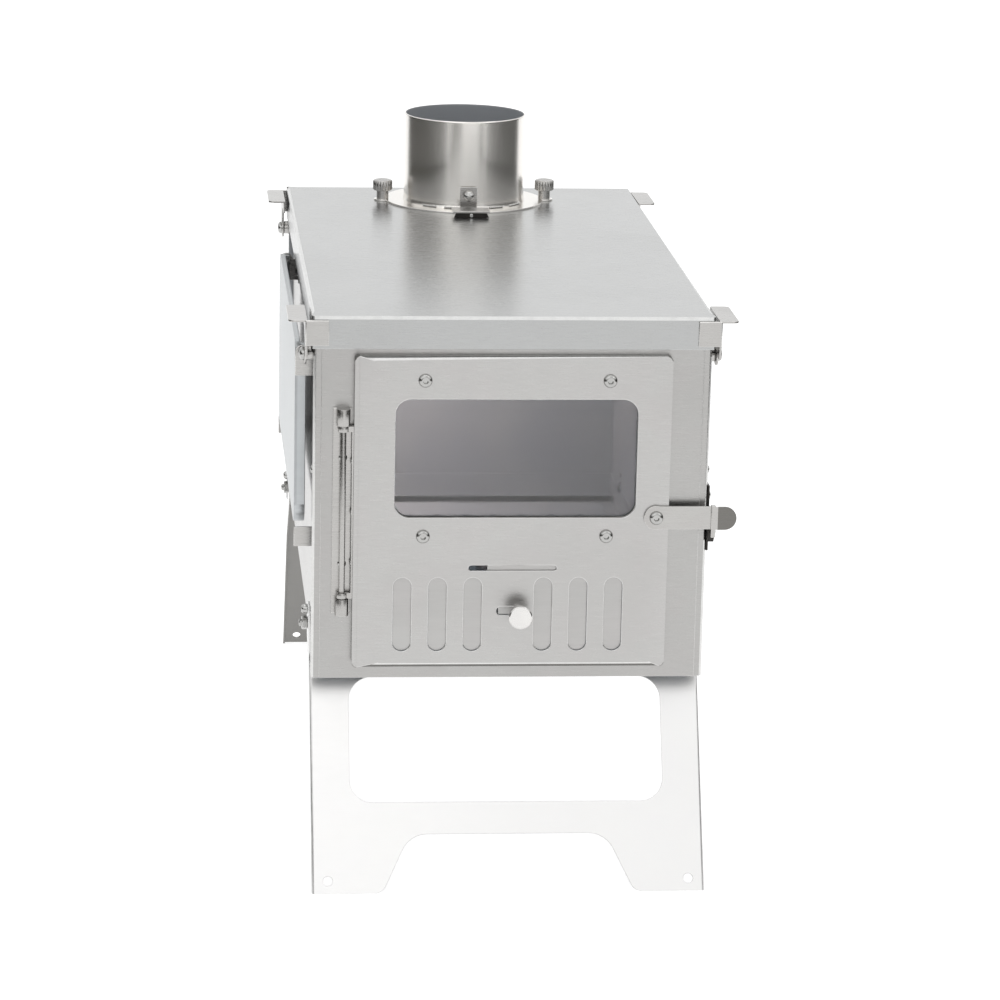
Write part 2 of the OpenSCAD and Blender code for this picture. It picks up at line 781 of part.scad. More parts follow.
module lid_panel() {
    color([0.78, 0.79, 0.79]) difference() {
        translate([0, 0, zt - lip_h]) linear_extrude(lip_h) round_rect(lid_w, lid_l, 1.6);
        translate([0, 0, zt - lip_h - 1]) linear_extrude(lip_h + 1 - sheet)
            square([lid_w - 2 * sheet, lid_l - 2 * sheet], center = true);
        at_collar() hole_z(0, 0, zt - 5, zt + 5, flue_hole_r);
        at_ears() hole_z(0, 0, zt - 5, zt + 5, screw_r + fit);
    }
}

flange_t = 1;

module flue_flange() {
    color([0.7, 0.69, 0.68]) difference() {
        translate([0, 0, zt]) linear_extrude(flange_t) {
            intersection() {
                at_collar() circle(r = flange_r, $fn = 96);
                translate([-lid_w / 2, -lid_l / 2]) square([lid_w, lid_l - flange_back]);
            }
            at_ears() circle(r = 5.5);
        }
        at_collar() hole_z(0, 0, zt - 1, zt + 5, flue_hole_r);
        at_ears() hole_z(0, 0, zt - 1, zt + 5, screw_r + fit);
    }
}

module flue_collar() {
    base = zt + flange_t;
    color([0.6, 0.58, 0.56]) at_collar() difference() {
        union() {
            translate([0, 0, base]) cylinder(r = collar_r, h = collar_h - flange_t, $fn = 128);
            for (a = weld_tabs) rotate([0, 0, a]) translate([collar_r - 0.5, -3, base])
                cube([5, 6, 1]);
        }
        translate([0, 0, base - 1]) cylinder(r = collar_r - sheet, h = collar_h + 2, $fn = 128);
        rotate([0, 0, 180]) hole_y(0, base + clip_hole_z, collar_r - 4, collar_r + 4, rivet_r + fit);
    }
}

weld_tabs = [-128, -105, -62, -38, 45, 90, 135];
clip_hole_z = 9;

strap_t = 1.2;
strap_h = 14;
strap_y = -collar_r - 2 * strap_t;
tongue_y = -flange_r - tongue_l;
tongue_rivet_r = 0.9;
ball_r = 3.4;
tongue_rivet_z = (tongue_h - strap_t) / 2;
clip_grip = 2 * strap_t + sheet - 0.1;

// The clip is bolted to the collar, bends over the flange and ends in a raised tongue
module collar_clip() {
    base = zt + flange_t;
    riser_y = -flange_r - 2 * strap_t;
    color([0.55, 0.54, 0.52]) at_collar() difference() {
        union() {
            translate([-clip_w / 2, strap_y, base]) cube([clip_w, strap_t, strap_h]);
            translate([-clip_w / 2, riser_y, base]) cube([clip_w, strap_y + strap_t - riser_y, strap_t]);
            translate([-clip_w / 2, riser_y, zt]) cube([clip_w, strap_t, tongue_h]);
            translate([-tongue_w / 2, tongue_y, zt + tongue_h - strap_t])
                cube([tongue_w, riser_y + strap_t - tongue_y, strap_t]);
            translate([0, 0, zt]) upright(tongue_y + 0.5, tongue_l / 2) tongue_block();
        }
        hole_y(0, base + clip_hole_z, -collar_r - 4, -collar_r, rivet_r + fit);
        hole_y(0, zt + tongue_rivet_z, tongue_y - 1, tongue_y + 5, tongue_rivet_r + fit);
    }
}

// Front view of the block that carries the tongue on the lid
module tongue_block() {
    top = tongue_w / 2 - 0.5;
    polygon([[-top, tongue_h - 1], [-top + 1.5, 0], [top - 1.5, 0], [top, tongue_h - 1]]);
}

// A ball-headed bolt holds the clip to the collar and a small rivet is in the tongue's block
module clip_bolt() {
    base = zt + flange_t;
    color([0.86, 0.86, 0.85]) at_collar() {
        translate([0, strap_y, base + clip_hole_z]) rotate([90, 0, 0]) {
            translate([0, 0, -clip_grip]) cylinder(r = rivet_r, h = clip_grip);
            cylinder(r = 2.2, h = 1);
            translate([0, 0, ball_r + 0.2]) sphere(r = ball_r, $fn = 32);
        }
        translate([0, tongue_y + 0.5, zt + tongue_rivet_z]) rotate([90, 0, 0]) {
            translate([0, 0, -4]) cylinder(r = tongue_rivet_r, h = 4);
            cylinder(r1 = 1.45, r2 = 1, h = 0.8);
        }
    }
}

module flange_nuts() {
    color([0.8, 0.8, 0.79]) at_ears() translate([0, 0, zt - sheet - nut_h]) nut(screw_r);
}

// A knurled thumb screw: a wide grip over a narrow neck
module thumbscrew(a) {
    at_collar() rotate([0, 0, a]) translate([ear_r, 0, zt + flange_t]) {
        translate([0, 0, -flange_t - sheet - nut_h - 2]) cylinder(r = screw_r, h = 12);
        cylinder(r = 3.8, h = 5.4);
        translate([0, 0, 5.4]) linear_extrude(6.6) difference() {
            circle(r = 6.1);
            for (i = [0:11]) rotate([0, 0, i * 30]) translate([6.5, 0]) circle(r = 0.75, $fn = 16);
        }
    }
}

module left_thumbscrew() {
    color([0.66, 0.65, 0.63]) thumbscrew(180 + ear_turn);
}

module right_thumbscrew() {
    color([0.66, 0.65, 0.63]) thumbscrew(ear_turn);
}

// ---- Corner latches ----

// Drawing in Y and Z about the pivot: a strip that rises past the lid's edge
module latch_strip() {
    circle(r = 6);
    translate([-latch_reach, 0]) square([latch_reach + 4, latch_drop - 2.4]);
    translate([-latch_reach, latch_drop - 10]) square([finger_l, 7.6]);
}

latch_reach = latch_in + sheet + lid_gap + slide_gap;

module corner_latch() {
    top = latch_drop - 2.4;
    translate([0, front + latch_in, latch_z]) difference() {
        union() {
            sideways(latch_x, latch_t) latch_strip();
            translate([latch_x, -latch_reach, top - latch_t])
                cube([finger_w - 3, finger_l, latch_t]);
            translate([latch_x, -latch_reach + 3, top - latch_t])
                cube([finger_w, finger_l - 6, latch_t]);
            for (y = [3, finger_l - 3]) translate([latch_x + finger_w - 3, y - latch_reach, top - latch_t])
                cylinder(r = 3, h = latch_t);
            translate([latch_x - 11.6, -latch_reach - latch_t, 7.6])
                cube([11.6 + latch_t, latch_t, top - 7.6]);
        }
        hole_x(0, 0, latch_x - 1, latch_x + 3, bolt_r + fit);
    }
}

module front_left_latch() {
    color([0.64, 0.62, 0.6]) mirror([1, 0, 0]) corner_latch();
}

module front_right_latch() {
    color([0.64, 0.62, 0.6]) corner_latch();
}

module rear_left_latch() {
    color([0.64, 0.62, 0.6]) mirror([1, 0, 0]) mirror([0, 1, 0]) corner_latch();
}

module rear_right_latch() {
    color([0.64, 0.62, 0.6]) mirror([0, 1, 0]) corner_latch();
}

// Each bolt runs from inside the firebox through wall, bush and latch to its round head
module latch_bolts() {
    head_x = latch_x + latch_t + slide_gap;
    color([0.85, 0.85, 0.84]) both_sides() both_ends() {
        translate([head_x, front + latch_in, latch_z]) rotate([0, 90, 0])
            button_bolt(bolt_r, head_x - wall_in + 2, head_r, head_h);
    }
}

module latch_bushes() {
    color([0.55, 0.54, 0.5]) both_sides() both_ends() difference() {
        hole_x(front + latch_in, latch_z, wall_out, latch_x - slide_gap, 4);
        hole_x(front + latch_in, latch_z, wall_out - 1, latch_x + 1, bolt_r + fit);
    }
}

// ---- Legs ----

// Drawing in X and Z of a leg plate hanging from z = 0, before it leans
module leg_outline() {
    bar_top = foot_len - arch_h - leg_bar;
    difference() {
        translate([-leg_half, -foot_len - 2]) square([2 * leg_half, foot_len + 2 - leg_top]);
        translate([0, -(leg_window_top + bar_top) / 2])
            round_rect(leg_window_w, bar_top - leg_window_top, leg_window_r);
        translate([0, -foot_len]) arch_outline();
        for (s = [-1, 1]) translate([s * (leg_half - peg_in), -foot_len + peg_up]) circle(d = peg_d);
    }
}

// The arch between the feet, from the ground up, with the round corners of both feet
module arch_outline() {
    lean = atan2(arch_h, (arch_foot_w - arch_top_w) / 2);
    foot_t = foot_r * tan(lean / 2);
    hull() {
        for (s = [-1, 1])
            translate([s * (arch_top_w / 2 - arch_r * tan(lean / 2)), arch_h - arch_r])
                circle(r = arch_r, $fn = 32);
        translate([-arch_foot_w / 2, -4]) square([arch_foot_w, 4]);
    }
    both_sides() translate([arch_foot_w / 2, 0]) difference() {
        polygon([[-foot_t * cos(lean), foot_t * sin(lean)], [foot_t, 0], [foot_t, -4], [-4, -4]]);
        translate([foot_t, foot_r]) circle(r = foot_r + 2 * eps);
    }
}

// Drawing in Y and Z of a leg's side ear, with its pivot hole and curved stop slot
module ear_outline() {
    difference() {
        union() {
            polygon([[0, -foot_len - 2], [0, 6], [pivot_ly - 8, pivot_lz + 9],
                [pivot_ly + 10, pivot_lz - 7], [9, -22], [4, -foot_len - 2]]);
            translate([pivot_ly, pivot_lz]) circle(r = ear_rad);
        }
        translate([pivot_ly, pivot_lz]) {
            circle(r = bolt_r + fit);
            stop_slot();
        }
    }
}

// The stop bolt's path seen from the leg: an arc about the pivot, one end at the open pose
module stop_slot() {
    start = 90 + splay;
    for (a = [start, start - fold]) rotate(a) translate([stop_r, 0]) circle(r = stop_half - fit);
    intersection() {
        difference() {
            circle(r = stop_r + stop_half);
            circle(r = stop_r - stop_half);
        }
        polygon(concat([[0, 0]], [for (k = [0:6]) stop_fan * [cos(start - fold / 6 * k),
            sin(start - fold / 6 * k)]]));
    }
}

stop_half = stop_bolt_r + slide_gap;
stop_fan = 3 * stop_r;

module leg_frame() {
    intersection() {
        translate([0, front + leg_set, zb]) rotate([-splay, 0, 0]) {
            upright(0, leg_t) leg_outline();
            both_sides() sideways(ear_x, leg_t) ear_outline();
        }
        translate([-lid_w, -lid_l, 0]) cube([2 * lid_w, 2 * lid_l, zt]);
    }
}

module front_legs() {
    color([0.86, 0.86, 0.85]) leg_frame();
}

module rear_legs() {
    color([0.86, 0.86, 0.85]) mirror([0, 1, 0]) leg_frame();
}

module leg_pivot_bolts() {
    color([0.85, 0.85, 0.84]) both_sides() both_ends()
        translate([wall_in, front + pivot_y, zb + pivot_z]) rotate([0, -90, 0])
            button_bolt(bolt_r, ear_x - wall_in + leg_t + slide_gap + nut_h + 1.5, head_r, head_h);
}

module leg_pivot_nuts() {
    x0 = ear_x + leg_t + slide_gap;
    color([0.8, 0.8, 0.79]) both_sides() both_ends()
        translate([x0, front + pivot_y, zb + pivot_z]) rotate([0, 90, 0]) nut(bolt_r);
}

module leg_washers() {
    color([0.8, 0.8, 0.79]) both_sides() both_ends() difference() {
        hole_x(front + pivot_y, zb + pivot_z, wall_out, wall_out + washer_t, 5.2);
        hole_x(front + pivot_y, zb + pivot_z, wall_out - 1, ear_x, bolt_r + fit);
    }
}

module leg_stop_bolts() {
    head_x = ear_x + leg_t + slide_gap;
    color([0.85, 0.85, 0.84]) both_sides() both_ends()
        translate([head_x, front + pivot_y, zb + pivot_z + stop_r]) rotate([0, 90, 0])
            button_bolt(stop_bolt_r, head_x - wall_in + 1, 2.8, 3.4);
}

module wall_rivets() {
    color([0.82, 0.81, 0.8]) both_sides() both_ends() for (z = rivet_rows)
        translate([box_w / 2, front + return_d / 2, z]) rotate([0, 90, 0]) rivet(wall_inset + sheet);
}

// ---- Side shelf ----

bracket_t = 1.5;
bracket_ys = [shelf_y0 - bracket_t - slide_gap, shelf_y1 + slide_gap];
bracket_low = shelf_axis_z - 13;
angle_t = 1.2;
angle_w = 12;
angle_rivet = 7;
angle_ys = [bracket_ys[0] + angle_rivet, bracket_ys[1] + bracket_t - angle_rivet];
rest_gap = 0.5;
rest_h = 11;

bracket_rivet_row = (bracket_low + shelf_axis_z - 1) / 2;
rest_rivet_row = shelf_low - rest_gap - rest_h / 2;

// The rivets of the two hinge brackets and of the two rests, as places on the left wall
module shelf_rivet_spots() {
    for (y = angle_ys) {
        translate([0, y, bracket_rivet_row]) children();
        translate([0, y, rest_rivet_row]) children();
    }
}

// An angle: one leg flat on the wall under the shelf, the other an ear across it
module wall_angle(i, low, high) {
    inner = i == 0 ? bracket_ys[0] : bracket_ys[1] + bracket_t - angle_w;
    difference() {
        translate([-wall_out - angle_t, inner, low]) cube([angle_t, angle_w, high - low]);
        translate([0, angle_ys[i], (low + high) / 2])
            hole_x(0, 0, -wall_out - 2, -wall_out + 1, rivet_r + fit);
    }
}

module shelf_brackets() {
    color([0.5, 0.49, 0.46]) for (i = [0, 1]) {
        wall_angle(i, bracket_low, shelf_axis_z - 1);
        upright(bracket_ys[i], bracket_t) difference() {
            union() {
                translate([-shelf_face, bracket_low]) square([shelf_off, shelf_axis_z - bracket_low]);
                translate([shelf_axis_x, shelf_axis_z]) circle(r = 4);
            }
            translate([shelf_axis_x, shelf_axis_z]) circle(r = shelf_pin_r + fit);
        }
    }
}

module shelf_bracket_rivets() {
    color([0.82, 0.81, 0.8]) for (i = [0, 1])
        translate([-wall_out - angle_t, angle_ys[i], bracket_rivet_row])
            rotate([0, -90, 0]) rivet(angle_t + sheet);
}

module shelf_rests() {
    color([0.5, 0.49, 0.46]) for (i = [0, 1]) {
        wall_angle(i, shelf_low - rest_gap - rest_h, shelf_low - rest_gap);
        translate([-shelf_face, bracket_ys[i], shelf_low - rest_gap - rest_h])
            cube([shelf_off, bracket_t, rest_h]);
    }
}

module shelf_rest_rivets() {
    color([0.82, 0.81, 0.8]) for (i = [0, 1])
        translate([-wall_out - angle_t, angle_ys[i], rest_rivet_row])
            rotate([0, -90, 0]) rivet(angle_t + sheet);
}

// A shallow tray that hangs by two pins near its top edge, its open side to the wall
module side_shelf() {
    mid = (shelf_top + shelf_low) / 2;
    color([0.87, 0.89, 0.9]) difference() {
        translate([0, (shelf_y0 + shelf_y1) / 2, mid]) sideways(-shelf_face, shelf_edge)
            round_rect(shelf_l, shelf_h, shelf_r);
        translate([0, (shelf_y0 + shelf_y1) / 2, mid]) sideways(-shelf_face + sheet, shelf_edge)
            round_rect(shelf_l - 2 * sheet, shelf_h - 2 * sheet, shelf_r - sheet);
        translate([-shelf_face + 3, shelf_y0 - 1, shelf_top - 2]) cube([shelf_edge, shelf_l + 2, 4]);
        hole_y(shelf_axis_x, shelf_axis_z, shelf_y0 - 1, shelf_y1 + 1, shelf_pin_r + fit);
    }
}

module shelf_pins() {
    color([0.85, 0.85, 0.84]) for (i = [0, 1]) {
        s = i == 0 ? 1 : -1;
        y = i == 0 ? bracket_ys[0] - slide_gap : bracket_ys[1] + bracket_t + slide_gap;
        translate([shelf_axis_x, y, shelf_axis_z]) rotate([-90 * s, 0, 0]) {
            cylinder(r = shelf_pin_r, h = bracket_t + 2 * slide_gap + sheet + 2);
            translate([0, 0, -1.2]) cylinder(r = 2.6, h = 1.2);
        }
    }
}

front_frame();
rear_panel();
left_wall();
right_wall();
bottom_pan();
fire_grate();
hinge_bracket();
hinge_rod();
bracket_rivets();
latch_keeper();
keeper_rivets();
shelf_brackets();
shelf_bracket_rivets();
shelf_rests();
shelf_rest_rivets();
latch_bolts();
latch_bushes();
leg_pivot_bolts();
leg_pivot_nuts();
leg_washers();
leg_stop_bolts();
wall_rivets();
door_panel();
window_glass();
glass_gasket();
glass_clamp();
window_bolts();
window_nuts();
hinge_leaf();
leaf_rivets();
arm_bolt();
arm_nut();
damper_guides();
latch_arm();
damper_plate();
damper_knob();
damper_nut();
lid_panel();
flue_flange();
flue_collar();
collar_clip();
clip_bolt();
flange_nuts();
left_thumbscrew();
right_thumbscrew();
front_legs();
rear_legs();
side_shelf();
shelf_pins();
front_left_latch();
front_right_latch();
rear_left_latch();
rear_right_latch();
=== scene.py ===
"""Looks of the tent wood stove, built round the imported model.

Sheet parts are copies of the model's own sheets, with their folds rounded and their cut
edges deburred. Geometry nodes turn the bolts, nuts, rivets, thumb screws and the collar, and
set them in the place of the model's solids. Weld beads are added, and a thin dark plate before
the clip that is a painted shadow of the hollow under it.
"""
import json
import math

import bmesh
import bpy
from mathutils import Matrix, Vector


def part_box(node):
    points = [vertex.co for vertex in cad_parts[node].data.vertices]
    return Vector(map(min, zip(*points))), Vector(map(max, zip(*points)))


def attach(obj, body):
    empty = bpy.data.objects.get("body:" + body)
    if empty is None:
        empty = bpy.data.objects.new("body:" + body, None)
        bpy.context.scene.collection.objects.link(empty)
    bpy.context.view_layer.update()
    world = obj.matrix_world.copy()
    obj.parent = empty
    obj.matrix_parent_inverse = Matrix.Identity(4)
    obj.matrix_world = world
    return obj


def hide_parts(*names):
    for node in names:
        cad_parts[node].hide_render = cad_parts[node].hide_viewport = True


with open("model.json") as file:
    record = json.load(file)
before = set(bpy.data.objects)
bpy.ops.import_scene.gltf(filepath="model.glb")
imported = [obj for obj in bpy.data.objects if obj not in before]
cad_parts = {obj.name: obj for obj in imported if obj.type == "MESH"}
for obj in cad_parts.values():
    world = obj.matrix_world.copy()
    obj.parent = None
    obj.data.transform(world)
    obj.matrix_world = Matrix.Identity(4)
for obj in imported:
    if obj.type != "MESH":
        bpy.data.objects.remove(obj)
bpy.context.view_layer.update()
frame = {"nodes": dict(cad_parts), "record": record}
NODES = frame["nodes"]
BODY_OF = {
    node: body
    for body, members in frame["record"]["behaviour"]["bodies"].items()
    for node in members
}
MM = 0.001


# ---- Small helpers ----


def feed_in(tree, target, feed):
    """Links a socket to an input, or sets the input's own value."""
    if isinstance(feed, bpy.types.NodeSocket):
        tree.links.new(feed, target)
    else:
        target.default_value = feed


def put(tree, kind, feeds=None, **options):
    """Adds a node to a tree, sets its options, and fills or links its inputs."""
    node = tree.nodes.new(kind)
    for option, choice in options.items():
        setattr(node, option, choice)
    for place, feed in (feeds or {}).items():
        feed_in(tree, node.inputs[place], feed)
    return node


def new_group(name, kind, inputs, outputs):
    """A node group with named sockets; gives the tree, its inputs and its end node."""
    tree = bpy.data.node_groups.new(name, kind)
    for label, socket, value in inputs:
        face = tree.interface.new_socket(label, in_out="INPUT", socket_type=socket)
        if value is not None:
            face.default_value = value
    for label, socket in outputs:
        tree.interface.new_socket(label, in_out="OUTPUT", socket_type=socket)
    start = tree.nodes.new("NodeGroupInput")
    end = tree.nodes.new("NodeGroupOutput")
    return tree, start.outputs, end


def math_node(tree, operation, *feeds, clamp=False):
    """One step of arithmetic on values or sockets."""
    feeds = dict(enumerate(feeds))
    return put(tree, "ShaderNodeMath", feeds, operation=operation, use_clamp=clamp).outputs[0]


def ramp(tree, value, low, high, to_low=0.0, to_high=1.0):
    """Maps low..high of a value onto to_low..to_high, with soft ends."""
    node = put(
        tree,
        "ShaderNodeMapRange",
        {"Value": value, "From Min": low, "From Max": high, "To Min": to_low, "To Max": to_high},
        interpolation_type="SMOOTHSTEP",
    )
    return node.outputs[0]


def mixed(tree, mask, first, second):
    """Mixes two colours by a mask."""
    node = put(tree, "ShaderNodeMix", {0: mask, 6: first, 7: second}, data_type="RGBA")
    return node.outputs[2]


def new_material(name):
    """A material with its tree, its shader and its object coordinates."""
    material = bpy.data.materials.new(name)
    material.use_nodes = True
    tree = material.node_tree
    place = put(tree, "ShaderNodeTexCoord").outputs["Object"]
    return material, tree, tree.nodes["Principled BSDF"], place


def new_object(name, data):
    """An object in the scene, at the origin."""
    thing = bpy.data.objects.new(name, data)
    bpy.context.scene.collection.objects.link(thing)
    return thing


# ---- Effects shared by the finishes ----


FLECK_SCALE, FLECK_SHARE = 5.3, 0.35  # of the clouds' own scale and strength


def cloudy_stain_group():
    """Faint cloudy stains that handling and heat leave on bare steel."""
    tree, given, end = new_group(
        "cloudy_stain",
        "ShaderNodeTree",
        [
            ("Vector", "NodeSocketVector", None),
            ("Clean", "NodeSocketColor", (0.6, 0.6, 0.6, 1)),
            ("Stained", "NodeSocketColor", (0.5, 0.5, 0.5, 1)),
            ("Size", "NodeSocketFloat", 20.0),
            ("Amount", "NodeSocketFloat", 0.5),
        ],
        [("Color", "NodeSocketColor"), ("Mask", "NodeSocketFloat")],
    )
    broad = put(
        tree,
        "ShaderNodeTexNoise",
        {"Vector": given["Vector"], "Scale": given["Size"], "Detail": 4.0, "Distortion": 0.6},
    )
    finer = put(
        tree,
        "ShaderNodeTexNoise",
        {
            "Vector": given["Vector"],
            "Scale": math_node(tree, "MULTIPLY", given["Size"], FLECK_SCALE),
            "Detail": 3.0,
        },
    )
    clouds = ramp(tree, broad.outputs["Fac"], 0.42, 0.66)
    flecks = ramp(tree, finer.outputs["Fac"], 0.4, 0.75)
    both = math_node(tree, "MULTIPLY_ADD", flecks, FLECK_SHARE, clouds)
    mask = math_node(tree, "MULTIPLY", both, given["Amount"], clamp=True)
    colour = mixed(tree, mask, given["Clean"], given["Stained"])
    tree.links.new(colour, end.inputs["Color"])
    tree.links.new(mask, end.inputs["Mask"])
    return tree


def rolled_grain_group():
    """Fine lines of rolled or brushed sheet, drawn out along one direction."""
    tree, given, end = new_group(
        "rolled_grain",
        "ShaderNodeTree",
        [
            ("Vector", "NodeSocketVector", None),
            ("Fineness", "NodeSocketVector", (40.0, 1500.0, 1500.0)),
            ("Waviness", "NodeSocketFloat", 0.3),
        ],
        [("Height", "NodeSocketFloat"), ("Lines", "NodeSocketFloat")],
    )
    drawn = put(
        tree,
        "ShaderNodeVectorMath",
        {0: given["Vector"], 1: given["Fineness"]},
        operation="MULTIPLY",
    )
    lines = put(
        tree, "ShaderNodeTexNoise", {"Vector": drawn.outputs[0], "Scale": 1.0, "Detail": 3.0}
    )
    swell = put(
        tree, "ShaderNodeTexNoise", {"Vector": given["Vector"], "Scale": 14.0, "Detail": 1.0}
    )
    height = math_node(
        tree, "MULTIPLY_ADD", swell.outputs["Fac"], given["Waviness"], lines.outputs["Fac"]
    )
    tree.links.new(height, end.inputs["Height"])
    tree.links.new(lines.outputs["Fac"], end.inputs["Lines"])
    return tree


def make_edge_wear_and_shade():
    """Folds and cut edges in a tone of their own: rubbed a little brighter than the faces beside
    them on most finishes, painted shade where the tone is dark.
    """
    tree, given, end = new_group(
        "edge_wear_and_shade_mask",
        "ShaderNodeTree",
        [("Vector", "NodeSocketVector", None), ("Amount", "NodeSocketFloat", 0.6)],
        [("Mask", "NodeSocketFloat")],
    )
    folds = put(tree, "ShaderNodeAttribute", attribute_name="edge_wear_and_shade")
    breaks = put(tree, "ShaderNodeTexNoise", {"Vector": given["Vector"], "Scale": 180.0})
    worn = ramp(tree, breaks.outputs["Fac"], 0.3, 0.6, 0.8, 1.0)
    mask = math_node(tree, "MULTIPLY", folds.outputs["Fac"], worn)
    tree.links.new(math_node(tree, "MULTIPLY", mask, given["Amount"]), end.inputs["Mask"])
    return tree


def tiny_speck_group():
    """Small bright specks, as on sheet that was lightly blasted."""
    tree, given, end = new_group(
        "tiny_speck",
        "ShaderNodeTree",
        [
            ("Vector", "NodeSocketVector", None),
            ("Scale", "NodeSocketFloat", 700.0),
            ("Reach", "NodeSocketFloat", 0.16),
        ],
        [("Mask", "NodeSocketFloat")],
    )
    cells = put(
        tree, "ShaderNodeTexVoronoi", {"Vector": given["Vector"], "Scale": given["Scale"]}
    )
    spots = put(
        tree,
        "ShaderNodeMapRange",
        {"Value": cells.outputs["Distance"], "From Min": given["Reach"], "From Max": 0.02},
    )
    patches = put(tree, "ShaderNodeTexNoise", {"Vector": given["Vector"], "Scale": 60.0})
    mask = math_node(
        tree, "MULTIPLY", spots.outputs[0], ramp(tree, patches.outputs["Fac"], 0.5, 0.7)
    )
    tree.links.new(mask, end.inputs["Mask"])
    return tree


CLOUDY_STAIN = cloudy_stain_group()
ROLLED_GRAIN = rolled_grain_group()
EDGE_WEAR_AND_SHADE_MASK = make_edge_wear_and_shade()
TINY_SPECK = tiny_speck_group()


# ---- Finishes ----


def place_group(tree, group, feeds):
    """Places a shared effect in a material with this material's own values."""
    return put(tree, "ShaderNodeGroup", feeds, node_tree=group).outputs


TINT_SCALE = 3.7  # of the second tint's clouds to those of the first
HEATED = (0.33, 0.345, 0.365, 1)  # faces that look into the firebox
HEATED_ROUGHER = 0.45
SHADE_AND_DARK_END = (0.17, 0.165, 0.155, 1)  # painted shade in the door's seam, over the frame and on the legs' inner sides; also the latch arm's darker end
SPECK = (0.9, 0.9, 0.89, 1)


def bare_steel(
    name,
    clean,
    stained,
    tinted,
    edge_wear_and_shade,
    stain_size=9.0,
    stain=0.35,
    rough=0.3,
    rough_spread=0.05,
    fineness=(90.0, 3000.0, 3000.0),
    relief=0.012,
    waviness=0.6,
    specks=0.0,
):
    """Bare steel: cloudy stains in two tints, rolled grain, folds and cut edges in a tone of their
    own, and a few specks.

    Face attributes mark the edges, which the finish's edge tone makes lighter with wear or darker
    with painted shade, the faces that heat has dulled, and the places given painted shade along
    with the latch arm's darker end.
    """
    material, tree, shader, place = new_material(name)
    broad = place_group(
        tree,
        CLOUDY_STAIN,
        {
            "Vector": place,
            "Clean": clean + (1,),
            "Stained": stained + (1,),
            "Size": stain_size,
            "Amount": stain,
        },
    )
    small = place_group(
        tree,
        CLOUDY_STAIN,
        {
            "Vector": place,
            "Clean": broad["Color"],
            "Stained": tinted + (1,),
            "Size": stain_size * TINT_SCALE,
            "Amount": stain,
        },
    )
    grain = place_group(
        tree, ROLLED_GRAIN, {"Vector": place, "Fineness": fineness, "Waviness": waviness}
    )
    edges = place_group(tree, EDGE_WEAR_AND_SHADE_MASK, {"Vector": place})
    # edge tone: lighter wear on most finishes, painted shade on the legs' and shelf's dark edges
    colour = mixed(tree, edges["Mask"], small["Color"], edge_wear_and_shade + (1,))
    inner = put(tree, "ShaderNodeAttribute", attribute_name="inner").outputs["Fac"]
    colour = mixed(tree, inner, colour, HEATED)
    # painted shade on the door's seam, the frame and the legs' inner sides; the latch arm's end
    # darker
    shade_and_dark_end = put(tree, "ShaderNodeAttribute", attribute_name="shade_and_dark_end").outputs["Fac"]
    colour = mixed(tree, shade_and_dark_end, colour, SHADE_AND_DARK_END)
    if specks:
        spots = place_group(tree, TINY_SPECK, {"Vector": place})
        strength = math_node(tree, "MULTIPLY", spots["Mask"], specks)
        colour = mixed(tree, strength, colour, SPECK)
    lined = ramp(tree, grain["Lines"], 0.3, 0.7, rough - rough_spread, rough + rough_spread)
    dulled = math_node(tree, "MULTIPLY_ADD", broad["Mask"], rough_spread, lined)
    heated = math_node(tree, "MULTIPLY", inner, HEATED_ROUGHER)
    dulled = math_node(tree, "ADD", dulled, heated, clamp=True)
    bump = put(
        tree,
        "ShaderNodeBump",
        {"Height": grain["Height"], "Strength": relief, "Distance": 0.001},
    )
    tree.links.new(colour, shader.inputs["Base Color"])
    tree.links.new(dulled, shader.inputs["Roughness"])
    tree.links.new(bump.outputs[0], shader.inputs["Normal"])
    tree.links.new(ramp(tree, inner, 0.0, 1.0, 1.0, 0.0), shader.inputs["Metallic"])
    return material


def clear_glass(name):
    """The window: clear ceramic glass with a faint film on it."""
    material, tree, shader, place = new_material(name)
    film = put(tree, "ShaderNodeTexNoise", {"Vector": place, "Scale": 24.0, "Detail": 4.0})
    filmed = ramp(tree, film.outputs["Fac"], 0.35, 0.75, 0.01, 0.07)
    tree.links.new(filmed, shader.inputs["Roughness"])
    tint = mixed(
        tree,
        ramp(tree, film.outputs["Fac"], 0.3, 0.7),
        (0.97, 0.96, 0.95, 1),
        (0.9, 0.9, 0.92, 1),
    )
    tree.links.new(tint, shader.inputs["Base Color"])
    shader.inputs["Transmission Weight"].default_value = 1.0
    shader.inputs["IOR"].default_value = 1.45
    return material


def woven_fibre(name):
    """Pale glass-fibre tape of the window's gasket."""
    material, tree, shader, place = new_material(name)
    weave = put(
        tree,
        "ShaderNodeTexWave",
        {"Vector": place, "Scale": 420.0, "Distortion": 2.0, "Detail": 2.0},
        bands_direction="DIAGONAL",
    )
    colour = mixed(tree, weave.outputs["Fac"], (0.62, 0.6, 0.55, 1), (0.8, 0.79, 0.75, 1))
    bump = put(
        tree,
        "ShaderNodeBump",
        {"Height": weave.outputs["Fac"], "Strength": 0.5, "Distance": 0.0005},
    )
    tree.links.new(colour, shader.inputs["Base Color"])
    tree.links.new(bump.outputs[0], shader.inputs["Normal"])
    shader.inputs["Roughness"].default_value = 0.85
    return material


